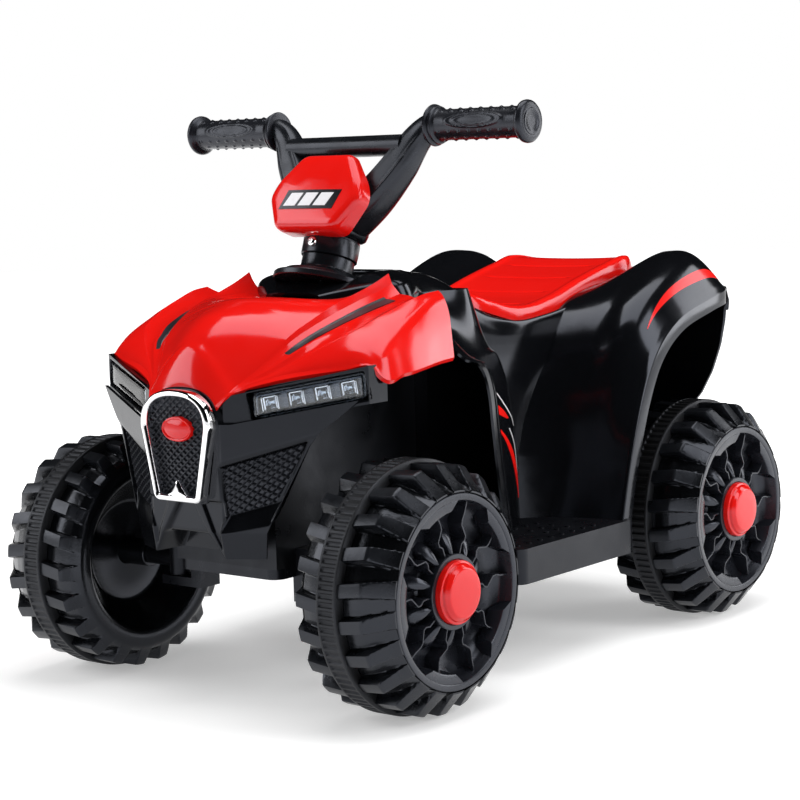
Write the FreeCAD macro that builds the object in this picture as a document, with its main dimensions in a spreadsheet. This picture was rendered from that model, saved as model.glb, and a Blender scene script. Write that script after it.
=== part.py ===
import FreeCAD
import Part
import math
import os

# Battery-driven quad bike for a small child. Millimetres, degrees.
# +Z is up, the front faces -Y, +X is the rider's left side.
# The wheels stand on Z = 0 and the frame origin is midway between the axles.

doc = FreeCAD.newDocument("quad_bike")
Vector = FreeCAD.Vector
Rotation = FreeCAD.Rotation
Placement = FreeCAD.Placement
ACROSS = Vector(1, 0, 0)
ALONG = Vector(0, 1, 0)
UP = Vector(0, 0, 1)

# Driving dimensions
SIZES = {
    # fits
    "fit_gap": 0.3,
    "run_gap": 0.05,
    "overrun": 5.0,
    # running gear layout
    "wheel_radius": 105.0,
    "half_wheelbase": 226.0,
    "half_track": 170.0,
    "axle_radius": 5.0,
    "axle_half_length": 208.0,
    # wheel moulding, reaches measured along the axle from the tread centre
    "wheel_outer_reach": 51.0,
    "wheel_inner_reach": 42.0,
    "carcass_radius": 95.0,
    "shoulder_radius": 92.0,
    "shoulder_reach": 36.0,
    "sidewall_radius": 86.0,
    "sidewall_reach": 47.5,
    "wheel_wall": 2.5,
    "dish_mouth_radius": 70.0,
    "dish_floor_radius": 46.0,
    "dish_floor_reach": 12.0,
    "wheel_hub_radius": 12.0,
    "wheel_hub_inner": 44.0,
    "wheel_hub_outer": 28.0,
    "rim_ledge": 5.0,
    "rim_gap": 0.8,
    "lug_count": 22.0,
    "lug_top_radius": 103.0,
    "lug_root_radius": 83.0,
    "lug_root_width": 16.0,
    "lug_top_width": 10.5,
    "lug_top_reach": 33.0,
    "lug_skew": 5.0,
    # traction band
    "band_half_width": 10.0,
    "band_edge": 2.5,
    "band_ribs": 96.0,
    "band_groove": 1.3,
    # rim insert
    "rim_radius": 80.0,
    "rim_thickness": 7.0,
    "rim_ring_inner": 66.0,
    "rim_floor": 3.0,
    "rim_floor_radius": 58.0,
    "rim_collar_radius": 31.0,
    "rim_collar_reach": 48.0,
    "rim_axle_hole": 14.0,
    "rib_count": 10.0,
    "rib_thickness": 2.6,
    "rib_reach": 46.0,
    "arc_inner": 61.0,
    "arc_reach": 49.5,
    "arc_angle": 34.0,
    "arc_count": 5.0,
    # hub cap
    "cap_radius": 26.0,
    "cap_seat_depth": 3.0,
    "cap_step_radius": 23.5,
    "cap_top_radius": 20.0,
    "cap_rim_reach": 52.5,
    "cap_step_reach": 55.0,
    "cap_top_reach": 58.0,
    # retainers
    "retainer_radius": 9.0,
    "retainer_thickness": 2.0,
    # chassis pan
    "pan_bottom": 82.0,
    "pan_depth": 31.0,
    "pan_wall": 3.5,
    "pan_front_half": 58.0,
    "pan_rear_half": 70.0,
    "pan_front": -262.0,
    "pan_rear": 285.0,
    "board_half": 185.0,
    "board_front": -90.0,
    "board_rear": 96.0,
    "board_corner": 22.0,
    "dot_radius": 2.6,
    "dot_height": 0.9,
    "dot_pitch": 17.0,
    "boss_radius": 11.0,
    "pan_arch": 22.0,
    "pan_arch_rear": -122.0,
    # kingpins, knuckles, tie rod
    "kingpin_half": 90.0,
    "kingpin_radius": 4.0,
    "kingpin_head": 7.0,
    "kingpin_head_height": 3.0,
    "yoke_arm": 8.0,
    "yoke_half_width": 12.0,
    "yoke_top": 128.0,
    "sleeve_radius": 10.0,
    "stub_collar_radius": 9.0,
    "steer_arm_length": 64.0,
    "steer_arm_width": 14.0,
    "steer_arm_bottom": 110.0,
    "steer_arm_height": 8.0,
    "steer_pin_radius": 3.0,
    "steer_pin_top": 128.0,
    "tie_bottom": 118.3,
    "tie_thickness": 5.0,
    "tie_half_width": 8.0,
    "tie_slot_half": 4.2,
    "tie_slot_reach": 6.5,
    "tie_plate_half": 14.0,
    "tie_plate_front": 24.0,
    "tie_plate_rear": 16.0,
    "tie_hole_half": 7.5,
    "tie_hole_front": 18.0,
    "tie_hole_rear": 10.0,
    # steering column, reaches measured along the column from its base point
    "rake": 20.0,
    "column_y": -118.5,
    "column_z": 353.0,
    "stem_radius": 5.0,
    "stem_top": 58.0,
    "stem_bend_radius": 9.0,
    "crank_length": 38.5,
    "crank_level": -219.0,
    "crank_end": -238.0,
    "bush_radius": 9.0,
    "bush_length": 12.0,
    "bracket_level": -128.0,
    "bracket_thickness": 6.0,
    "bracket_half_depth": 24.0,
    "bracket_boss_radius": 14.0,
    # front frame
    "frame_half": 58.0,
    "frame_wall": 2.5,
    "frame_top": 322.0,
    "frame_nose_top": 286.0,
    "frame_step": -165.0,
    "frame_rear": -70.0,
    "rod_slot_half": 26.0,
    "rod_slot_top": 152.0,
    # column shroud
    "shroud_flange": 46.0,
    "shroud_cone_base": 38.0,
    "shroud_cone_top": 24.0,
    "shroud_low": -14.0,
    "shroud_step": -8.0,
    "shroud_top": 11.7,
    # handlebar group
    "collar_radius": 25.5,
    "collar_low": 12.0,
    "collar_high": 30.0,
    "bolt_radius": 3.0,
    "bolt_head_radius": 4.5,
    "bolt_head_height": 3.0,
    "bolt_depth": 14.0,
    "hub_half_width": 30.0,
    "hub_front": -20.0,
    "hub_rear": 22.0,
    "hub_high": 68.0,
    "hub_corner": 8.0,
    "bar_height": 135.0,
    "bar_radius": 11.0,
    "bar_end": 190.0,
    "arm_span": 90.0,
    "arm_rise": 91.0,
    "arm_foot": 44.0,
    "arm_half": 15.0,
    "cross_radius": 9.5,
    "cross_height": 116.0,
    "cross_front": -5.0,
    "cross_half": 66.0,
    "cover_half": 53.0,
    "cover_low": 26.5,
    "cover_rise": 74.5,
    "cover_back": -20.3,
    "cover_depth": 10.0,
    "cover_tilt": 13.0,
    "grip_inner": 88.0,
    "grip_outer": 196.0,
    "grip_radius": 13.5,
    "grip_flange": 18.5,
    "grip_flange_width": 5.0,
    # hood
    "hood_front": -306.0,
    "hood_length": 175.0,
    "hood_half": 158.0,
    "hood_base": 254.0,
    "hood_rise": 100.0,
    "hood_wall": 3.0,
    "notch_half": 80.0,
    "notch_front": -174.0,
    "notch_rear": -133.0,
    "vent_proud": 0.8,
    # fascia and bumper
    "fascia_back": -262.0,
    "nose_front": -308.0,
    "nose_half": 42.0,
    "bumper_low": 128.0,
    "bumper_knee": 150.0,
    "bumper_high": 238.0,
    "bumper_low_half": 37.0,
    "bumper_knee_half": 74.0,
    "bumper_high_half": 112.0,
    "bumper_side_y": -272.0,
    "bumper_knee_y": -287.0,
    "bumper_low_y": -304.0,
    "band_half": 153.0,
    "band_front": -297.5,
    "band_corner_y": -244.0,
    "band_back": -222.0,
    "band_inner_x": 46.0,
    "band_inner_low": 238.0,
    "band_inner_high": 261.0,
    "band_outer_low": 256.0,
    "band_outer_high": 287.0,
    "fascia_wall": 4.0,
    # headlights
    "lamp_x": 104.0,
    "lamp_y": -267.5,
    "lamp_z": 261.8,
    "lamp_yaw": 26.5,
    "lamp_tilt": 10.0,
    "lamp_length": 98.0,
    "lamp_height": 21.0,
    "lamp_depth": 16.0,
    "lamp_corner": 4.0,
    "lens_wall": 2.5,
    "lens_depth": 9.0,
    "cup_pitch": 22.5,
    "cup_half": 7.6,
    "cup_wall": 1.6,
    "cup_height": 4.5,
    "led_radius": 3.2,
    # grille
    "ring_half_top": 39.0,
    "ring_half_low": 26.0,
    "ring_low": 175.0,
    "ring_high": 268.0,
    "ring_rise": 31.0,
    "ring_band": 6.5,
    "ring_depth": 11.0,
    "mesh_thickness": 3.0,
    "mesh_pitch": 9.0,
    "mesh_bar": 2.6,
    "emblem_half_width": 17.0,
    "emblem_half_height": 10.5,
    "emblem_depth": 4.0,
    "emblem_z": 235.0,
    "panel_thickness": 2.5,
    # body shell
    "shell_wall": 2.5,
    "tub_front": -70.0,
    "tub_length": 366.0,
    "tub_half": 84.0,
    "tub_floor": 113.0,
    "tub_rise": 240.0,
    "tank_front": -165.0,
    "tank_rear": 30.0,
    "fender_inner": 78.0,
    "fender_outer": 180.0,
    "fender_rear": 290.0,
    "fender_lip": 15.0,
    "fender_rise": 57.0,
    "fender_wall": 3.0,
    "shield_inner": 66.0,
    "shield_outer": 150.0,
    "shield_wall": 3.0,
    # seat
    "seat_front": -8.0,
    "seat_length": 293.0,
    "seat_half": 73.0,
    "seat_low": 309.0,
    "seat_rise": 40.0,
    "seat_skirt": 14.0,
    "seat_wall": 3.0,
    "seat_groove": 1.0,
    "seat_groove_width": 3.0,
    "seat_groove_half": 54.0,
    # drive
    "gear_module": 1.0,
    "tooth_backlash": 0.25,
    "pinion_teeth": 12.0,
    "first_teeth": 44.0,
    "second_teeth": 44.0,
    "output_teeth": 50.0,
    "small_teeth": 12.0,
    "gear_width": 8.0,
    "gear_space": 1.5,
    "gear_bore_wall": 4.0,
    "trunnion_radius": 2.5,
    "trunnion_length": 4.0,
    "case_inner": 82.0,
    "case_split": 96.0,
    "case_outer": 119.0,
    "case_wall": 2.5,
    "case_corner": 12.0,
    "output_hub_radius": 10.0,
    "output_flange_radius": 16.0,
    "motor_radius": 14.0,
    "motor_length": 38.0,
    "motor_neck_radius": 6.0,
    "motor_shaft_radius": 1.2,
    # battery, controls
    "battery_width": 70.0,
    "battery_depth": 47.0,
    "battery_height": 101.0,
    "battery_y": 110.0,
    "battery_corner": 2.0,
    "tray_rib": 3.0,
    "tray_height": 8.0,
    "terminal_height": 5.0,
    "terminal_width": 6.0,
    "pedal_x": -138.0,
    "pedal_heel": 50.0,
    "pedal_length": 58.0,
    "pedal_half": 20.0,
    "pedal_thickness": 5.0,
    "pedal_pivot_height": 6.0,
    "pedal_slope": 9.0,
    "pedal_pin_radius": 2.5,
    "pedal_pin_length": 5.0,
    "ear_width": 6.0,
    "ear_half": 6.0,
    "switch_y": -40.0,
    "switch_z": 345.0,
    "switch_slope": 16.0,
    "bezel_half_width": 13.0,
    "bezel_half_length": 18.0,
    "bezel_rim": 3.0,
    "bezel_depth": 12.0,
    "bezel_lip": 2.0,
    "rocker_radius": 13.0,
    "rocker_pin_radius": 1.5,
    "socket_z": 232.0,
    "socket_radius": 7.0,
    "socket_flange": 10.0,
    "socket_flange_thickness": 2.0,
    "socket_depth": 16.0,
    "socket_bore": 2.75,
    "socket_bore_depth": 10.0,
}

sheet = doc.addObject("Spreadsheet::Sheet", "Sizes")
for row, (alias, amount) in enumerate(SIZES.items(), start=1):
    sheet.set("A%d" % row, alias)
    sheet.set("B%d" % row, str(amount))
    sheet.setAlias("B%d" % row, alias)
doc.recompute()


class Sizes:
    """The sheet's values, read back by alias."""

    def __getattr__(self, alias):
        return float(sheet.get(alias))


S = Sizes()
NODES = {}


# Outlines and solids
def at(x, y, z, rotation=None):
    return Placement(Vector(x, y, z), rotation or Rotation())


def column_place(along=0.0):
    """Frame of the steering column, its z axis running up the column."""
    turn = Rotation(ACROSS, -S.rake)
    base = Vector(0, S.column_y, S.column_z)
    return Placement(base + turn.multVec(Vector(0, 0, along)), turn)


def outline(points, radius=0.0):
    """Closed outline of lines through (x, y) points, every corner rounded by the radius."""
    corners = [Vector(p[0], p[1], 0) for p in points]
    count = len(corners)
    pieces = []
    starts = []
    ends = []
    arcs = []
    for i in range(count):
        here = corners[i]
        back = (corners[i - 1] - here).normalize()
        ahead = (corners[(i + 1) % count] - here).normalize()
        half = back.getAngle(ahead) / 2
        if radius == 0 or abs(half - math.pi / 2) < 0.01:
            starts.append(here)
            ends.append(here)
            arcs.append(None)
            continue
        cut = radius / math.tan(half)
        middle = (back + ahead).normalize()
        centre = here + middle * (radius / math.sin(half))
        starts.append(here + back * cut)
        ends.append(here + ahead * cut)
        arcs.append(Part.Arc(starts[-1], centre - middle * radius, ends[-1]))
    for i in range(count):
        if arcs[i]:
            pieces.append(arcs[i])
        if (ends[i] - starts[(i + 1) % count]).Length > 1e-6:
            pieces.append(Part.LineSegment(ends[i], starts[(i + 1) % count]))
    return pieces


def ring(radius, x=0.0, y=0.0):
    return [Part.Circle(Vector(x, y, 0), UP, radius)]


def flat(pieces):
    return Part.Face(Part.Wire(Part.sortEdges([p.toShape() for p in pieces])[0]))


def slab(points, height, place=None, radius=0.0):
    """Prism of an outline drawn in the place's xy plane, raised along its z axis."""
    made = flat(outline(points, radius)).extrude(Vector(0, 0, height))
    if place:
        made = made.transformed(place.toMatrix())
    return made


def box(low, high):
    return Part.makeBox(high[0] - low[0], high[1] - low[1], high[2] - low[2], Vector(*low))


def rod(radius, length, base, direction):
    return Part.makeCylinder(radius, length, Vector(*base), direction)


def loop(points):
    corners = [Vector(*p) for p in points]
    return Part.makePolygon(corners + corners[:1])


def loft(sections, ruled=False):
    """Solid through rows of corner points.

    Each corner runs along one smooth curve through its rows and the faces are
    ruled between neighbouring curves. A ruled loft keeps straight rows.
    """
    if ruled:
        return Part.makeLoft([loop(s) for s in sections], True, True)
    rows = [[Vector(*p) for p in s] for s in sections]
    count = len(rows[0])
    stations = [0.0]
    for first, second in zip(rows, rows[1:]):
        step = sum((q - p).Length for p, q in zip(first, second)) / count
        stations.append(stations[-1] + step)
    rails = []
    for k in range(count):
        curve = Part.BSplineCurve()
        curve.interpolate(Points=[row[k] for row in rows], Parameters=stations)
        rails.append(curve.toShape())
    faces = [Part.makeRuledSurface(rails[k - 1], rails[k]) for k in range(count)]
    faces += [Part.Face(loop(end)) for end in (rows[0], rows[-1])]
    skin = Part.makeCompound(faces)
    skin.sewShape()
    made = Part.makeSolid(skin.Shells[0] if skin.Shells else skin)
    if made.Volume < 0:
        made.reverse()
    return made


def spun(points):
    """Solid turned about the x axis from (x, radius) points."""
    profile = Part.Face(loop([(x, r, 0) for x, r in points]))
    return profile.revolve(Vector(0, 0, 0), ACROSS, 360)


def mirrored(shape):
    return shape.mirror(Vector(0, 0, 0), ACROSS)


def both_sides(half):
    """Whole outline from the half with x above zero, listed from front to back."""
    return half + [(-p[0],) + tuple(p[1:]) for p in reversed(half) if p[0] != 0]


# Document objects
def keep(thing, label):
    thing.Label = label
    NODES[label] = thing
    return thing


def feature(label, shape, place=None):
    made = doc.addObject("Part::Feature", label)
    made.Shape = shape.removeSplitter() if shape.ShapeType == "Compound" and not shape.Solids else shape
    if place:
        made.Placement = place
    return keep(made, label)


def body(label, place=None):
    made = doc.addObject("PartDesign::Body", label)
    if place:
        made.Placement = place
    return keep(made, label)


def sketch(owner, loops, plane="XY_Plane", level=None):
    drawn = owner.newObject("Sketcher::SketchObject", "Profile")
    support = [f for f in owner.Origin.OriginFeatures if f.Role == plane][0]
    drawn.AttachmentSupport = [(support, "")]
    drawn.MapMode = "FlatFace"
    if level:
        drawn.setExpression("AttachmentOffset.Base.z", level)
    for pieces in loops:
        for piece in pieces:
            drawn.addGeometry(piece, False)
    return drawn


def pad(owner, loops, length, plane="XY_Plane", level=None):
    profile = sketch(owner, loops, plane, level)
    made = owner.newObject("PartDesign::Pad", "Pad")
    made.Profile = profile
    made.setExpression("Length", length)
    doc.recompute()
    if "Invalid" in made.State or "Error" in made.State:
        raise RuntimeError("pad fails in " + owner.Label)
    return made


def pocket(owner, loops, length, plane="XY_Plane", level=None, up=False):
    before = owner.Shape.Volume
    profile = sketch(owner, loops, plane, level)
    made = owner.newObject("PartDesign::Pocket", "Pocket")
    made.Profile = profile
    made.setExpression("Length", length)
    made.Reversed = up
    doc.recompute()
    if owner.Shape.Volume >= before:
        raise RuntimeError("pocket removes nothing in " + owner.Label)
    return made


def turned(owner, points):
    """Revolution about the body's x axis of a profile of (x, radius) points."""
    profile = sketch(owner, [outline(points)])
    made = owner.newObject("PartDesign::Revolution", "Turned")
    made.Profile = profile
    made.ReferenceAxis = ([f for f in owner.Origin.OriginFeatures if f.Role == "X_Axis"][0], [""])
    made.Angle = 360
    doc.recompute()
    return made


def named(text):
    return "Sizes." + text


# Wheels
# One moulding, band, rim insert and cap are made about the x axis with the
# tread centre at zero and the outer side towards +x, then placed four times.
def wheel_moulding():
    outer = [
        (S.wheel_outer_reach, 0),
        (S.wheel_outer_reach, S.rim_radius + S.rim_gap),
        (S.sidewall_reach, S.sidewall_radius),
        (S.shoulder_reach, S.shoulder_radius),
        (S.band_half_width, S.carcass_radius),
        (-S.band_half_width, S.carcass_radius),
        (-S.shoulder_reach, S.shoulder_radius),
        (-S.wheel_inner_reach, S.sidewall_radius),
        (-S.wheel_inner_reach, S.dish_mouth_radius),
        (-S.dish_floor_reach, S.dish_floor_radius),
        (-S.dish_floor_reach, S.wheel_hub_radius),
        (-S.wheel_hub_inner, S.wheel_hub_radius),
        (-S.wheel_hub_inner, 0),
    ]
    carcass = spun(outer)
    carcass = carcass.fuse(tread_lugs(1)).fuse(tread_lugs(-1))
    wall = S.wheel_wall
    socket = S.rim_radius + S.rim_gap
    ledge = S.wheel_outer_reach - S.rim_thickness
    cavity = spun([
        (S.wheel_outer_reach + S.overrun, 0),
        (S.wheel_outer_reach + S.overrun, socket),
        (ledge, socket),
        (ledge, socket - S.rim_ledge),
        (ledge - wall, socket - S.rim_ledge),
        (ledge - wall, S.sidewall_radius - wall),
        (S.shoulder_reach - wall, S.shoulder_radius - wall),
        (S.band_half_width, S.carcass_radius - wall),
        (-S.band_half_width, S.carcass_radius - wall),
        (wall - S.shoulder_reach, S.shoulder_radius - wall),
        (wall - S.wheel_inner_reach, S.sidewall_radius - wall),
        (wall - S.wheel_inner_reach, S.dish_mouth_radius + wall),
        (wall - S.dish_floor_reach, S.dish_floor_radius + wall),
        (wall - S.dish_floor_reach, S.wheel_hub_radius),
        (S.wheel_hub_outer, S.wheel_hub_radius),
        (S.wheel_hub_outer, 0),
    ])
    bore_length = S.wheel_hub_inner + S.wheel_outer_reach
    bore = rod(S.axle_radius + S.run_gap, bore_length, (-S.wheel_hub_inner, 0, 0), ACROSS)
    return carcass.cut(cavity).cut(bore)


def tread_lugs(side):
    """Ring of skewed tapering blocks on one shoulder of the wheel."""
    start = side * S.band_half_width
    top_end = side * S.lug_top_reach
    root_end = side * (S.sidewall_reach if side > 0 else S.wheel_inner_reach - S.rim_gap)
    wide = S.lug_root_width / 2
    narrow = S.lug_top_width / 2
    lean = S.lug_skew
    low = S.lug_root_radius
    high = S.lug_top_radius
    block = loft([
        [(start, -wide, low), (start, wide, low), (root_end, wide + lean, low), (root_end, lean - wide, low)],
        [(start, -narrow, high), (start, narrow, high),
         (top_end, narrow + lean, high), (top_end, lean - narrow, high)],
    ], True)
    count = int(S.lug_count)
    blocks = []
    for i in range(count):
        copy = block.copy()
        copy.rotate(Vector(0, 0, 0), ACROSS, (i + (0 if side > 0 else 0.5)) * 360 / count)
        blocks.append(copy)
    return blocks


def traction_band():
    inner = S.carcass_radius + S.run_gap
    count = int(S.band_ribs)
    low = S.wheel_radius - S.band_groove
    rib_shares = ((0.0, S.wheel_radius), (0.55, S.wheel_radius), (0.62, low), (0.93, low))
    points = []
    for i in range(count):
        for share, radius in rib_shares:
            turn = (i + share) * 2 * math.pi / count
            points.append((radius * math.cos(turn), radius * math.sin(turn)))
    stand = Placement(Vector(S.band_edge - S.band_half_width, 0, 0), Rotation(UP, ACROSS))
    ribbed = slab(points, 2 * (S.band_half_width - S.band_edge), stand)
    edges = [rod(S.wheel_radius, S.band_edge, (x, 0, 0), ACROSS)
             for x in (-S.band_half_width, S.band_half_width - S.band_edge)]
    hole = rod(inner, 2 * S.band_half_width + 2 * S.overrun, (-S.band_half_width - S.overrun, 0, 0), ACROSS)
    return ribbed.fuse(edges).cut(hole)


def rim_insert():
    back = S.wheel_outer_reach - S.rim_thickness + S.run_gap
    floor_back = S.wheel_hub_outer + S.fit_gap
    floor_front = floor_back + S.rim_floor
    seat = S.rim_collar_reach - S.cap_seat_depth
    disc = spun([
        (S.wheel_outer_reach, S.rim_radius),
        (S.wheel_outer_reach, S.rim_ring_inner),
        (floor_front, S.rim_floor_radius),
        (floor_front, S.rim_collar_radius),
        (S.rim_collar_reach, S.rim_collar_radius),
        (S.rim_collar_reach, S.cap_radius + S.fit_gap),
        (seat, S.cap_radius + S.fit_gap),
        (seat, S.rim_axle_hole),
        (floor_back, S.rim_axle_hole),
        (floor_back, S.rim_floor_radius + S.rim_floor),
        (back, S.rim_ring_inner + S.rim_floor),
        (back, S.rim_radius),
    ])
    count = int(S.rib_count)
    extras = []
    for i in range(count):
        extras.append(zigzag_rib(i * 360 / count, 1 if i % 2 else -1, floor_front))
    for i in range(int(S.arc_count)):
        turn = (2 * i + 1) * 180 / S.arc_count
        arc = Part.makeCylinder(S.rim_ring_inner + S.rim_floor, S.rim_thickness, Vector(back, 0, 0),
                                ACROSS, S.arc_angle)
        arc = arc.cut(rod(S.arc_inner, S.wheel_outer_reach, (0, 0, 0), ACROSS))
        arc = arc.cut(rod(S.rim_radius, S.wheel_outer_reach, (S.arc_reach, 0, 0), ACROSS))
        arc.rotate(Vector(0, 0, 0), ACROSS, turn - S.arc_angle / 2)
        extras.append(arc)
    return disc.fuse(extras)


def zigzag_rib(turn, sign, floor_front):
    """Thin rib between two spokes, bent sideways twice on its way out."""
    bend_shares = ((0.0, 0.0), (0.35, 0.9), (0.6, -0.9), (1.0, 0.0))
    inner = S.rim_collar_radius - S.rim_floor
    reach = S.rim_ring_inner + S.rim_floor - inner
    half = S.rib_thickness / 2
    swing_share = 1.6
    swing = S.rib_thickness * swing_share
    side = [(inner + r * reach, sign * w * swing + half) for r, w in bend_shares]
    other = [(r, w - S.rib_thickness) for r, w in reversed(side)]
    stand = Placement(Vector(floor_front - S.rim_floor / 2, 0, 0), Rotation(UP, ACROSS))
    rib = slab(side + other, S.rib_reach - floor_front, stand)
    rib.rotate(Vector(0, 0, 0), ACROSS, turn)
    return rib


WHEELS = {
    "front_left": (1, -1),
    "front_right": (-1, -1),
    "rear_left": (1, 1),
    "rear_right": (-1, 1),
}


def wheel_place(side, end):
    turn = Rotation(UP, 0 if side > 0 else 180)
    return Placement(Vector(side * S.half_track, end * S.half_wheelbase, S.wheel_radius), turn)


def make_wheels():
    moulding = wheel_moulding()
    band = traction_band()
    insert = rim_insert()
    for corner, (side, end) in WHEELS.items():
        place = wheel_place(side, end)
        feature("wheel_" + corner, moulding.copy(), place)
        feature("traction_band_" + corner, band.copy(), place)
        feature("rim_insert_" + corner, insert.copy(), place)
        cap = body("hub_cap_" + corner, place)
        base = S.rim_collar_reach - S.cap_seat_depth + S.run_gap
        turned(cap, [
            (base, 0),
            (base, S.cap_radius),
            (S.cap_rim_reach, S.cap_radius),
            (S.cap_rim_reach, S.cap_step_radius),
            (S.cap_step_reach, S.cap_step_radius),
            (S.cap_top_reach, S.cap_top_radius),
            (S.cap_top_reach, 0),
        ])


# Axles, knuckles and tie rod
def make_axles():
    axle = doc.addObject("Part::Cylinder", "rear_axle")
    axle.setExpression("Radius", named("axle_radius"))
    axle.setExpression("Height", "2 * " + named("axle_half_length"))
    axle.Placement = Placement(Vector(-S.axle_half_length, S.half_wheelbase, S.wheel_radius),
                               Rotation(UP, ACROSS))
    keep(axle, "rear_axle")
    start = S.wheel_hub_outer + S.fit_gap
    profile = [
        (start, S.axle_radius),
        (start, S.retainer_radius),
        (start + S.retainer_thickness, S.retainer_radius),
        (start + S.retainer_thickness, S.axle_radius),
    ]
    for corner in ("front_left", "front_right"):
        washer = body("axle_retainer_" + corner, wheel_place(*WHEELS[corner]))
        turned(washer, profile)
    corners = ("rear_left", "rear_right")
    pair = [spun(profile).transformed(wheel_place(*WHEELS[c]).toMatrix()) for c in corners]
    feature("axle_retainers_rear", Part.makeCompound(pair))


def make_knuckles():
    low = S.pan_bottom + S.yoke_arm + S.fit_gap
    high = S.yoke_top - S.yoke_arm - S.fit_gap
    for side, name in ((1, "left"), (-1, "right")):
        turn = Rotation(UP, 0 if side > 0 else 180)
        pivot = Vector(side * S.kingpin_half, -S.half_wheelbase, 0)
        sleeve = rod(S.sleeve_radius, high - low, (0, 0, low), UP)
        inner_face = S.half_track - S.wheel_hub_inner - S.fit_gap - S.kingpin_half
        collar = rod(S.stub_collar_radius, inner_face, (0, 0, S.wheel_radius), ACROSS)
        stub = rod(S.axle_radius, S.axle_half_length - S.kingpin_half, (0, 0, S.wheel_radius), ACROSS)
        half = S.steer_arm_width / 2
        tip = side * S.steer_arm_length
        arm = slab([(-half, 0), (half, 0), (half, tip), (-half, tip)], S.steer_arm_height,
                   at(0, 0, S.steer_arm_bottom))
        eye = rod(half, S.steer_arm_height, (0, tip, S.steer_arm_bottom), UP)
        pin = rod(S.steer_pin_radius, S.steer_pin_top - S.steer_arm_bottom, (0, tip, S.steer_arm_bottom), UP)
        bore = rod(S.kingpin_radius + S.run_gap, high, (0, 0, low - S.overrun), UP)
        shape = sleeve.fuse([collar, stub, arm, eye, pin]).cut(bore)
        feature("steering_knuckle_" + name, shape, Placement(pivot, turn))
    pins = []
    for side in (1, -1):
        foot = (side * S.kingpin_half, -S.half_wheelbase, S.pan_bottom)
        crown = (side * S.kingpin_half, -S.half_wheelbase, S.yoke_top)
        shank = rod(S.kingpin_radius, S.yoke_top - S.pan_bottom, foot, UP)
        head = rod(S.kingpin_head, S.kingpin_head_height, crown, UP)
        pins.append(shank.fuse(head))
    feature("kingpins", Part.makeCompound(pins))


def make_tie_rod():
    link = body("tie_rod", at(0, S.steer_arm_length - S.half_wheelbase, 0))
    level = named("tie_bottom")
    thick = named("tie_thickness")
    reach = S.kingpin_half + S.tie_half_width
    wide = S.tie_half_width
    plate = S.tie_plate_half
    pad(link, [outline([
        (-reach, -wide - S.tie_slot_reach / 2), (-plate, -wide), (-plate, -S.tie_plate_front),
        (plate, -S.tie_plate_front), (plate, -wide), (reach, -wide - S.tie_slot_reach / 2),
        (reach, wide), (plate, wide), (plate, S.tie_plate_rear),
        (-plate, S.tie_plate_rear), (-plate, wide), (-reach, wide),
    ])], thick, level=level)
    for x in (-S.kingpin_half, S.kingpin_half):
        pocket(link, [outline([
            (x - S.tie_slot_half, -S.tie_slot_reach), (x + S.tie_slot_half, -S.tie_slot_reach),
            (x + S.tie_slot_half, S.tie_slot_half), (x - S.tie_slot_half, S.tie_slot_half),
        ])], thick, level=level, up=True)
    pocket(link, [outline([
        (-S.tie_hole_half, -S.tie_hole_front), (S.tie_hole_half, -S.tie_hole_front),
        (S.tie_hole_half, S.tie_hole_rear), (-S.tie_hole_half, S.tie_hole_rear),
    ])], thick, level=level, up=True)


# Chassis pan with footboards, yokes, axle boss and pedal ears
def pan_outline(inset):
    front_half = S.pan_front_half - inset
    rear_half = S.pan_rear_half - inset
    side = S.board_half - inset
    half = [
        (front_half, S.pan_front + inset),
        (front_half, S.board_front + inset),
        (side, S.board_front + inset),
        (side, S.board_rear - inset),
        (rear_half, S.board_rear - inset),
        (rear_half, S.pan_rear - inset),
    ]
    return both_sides(half)


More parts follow.
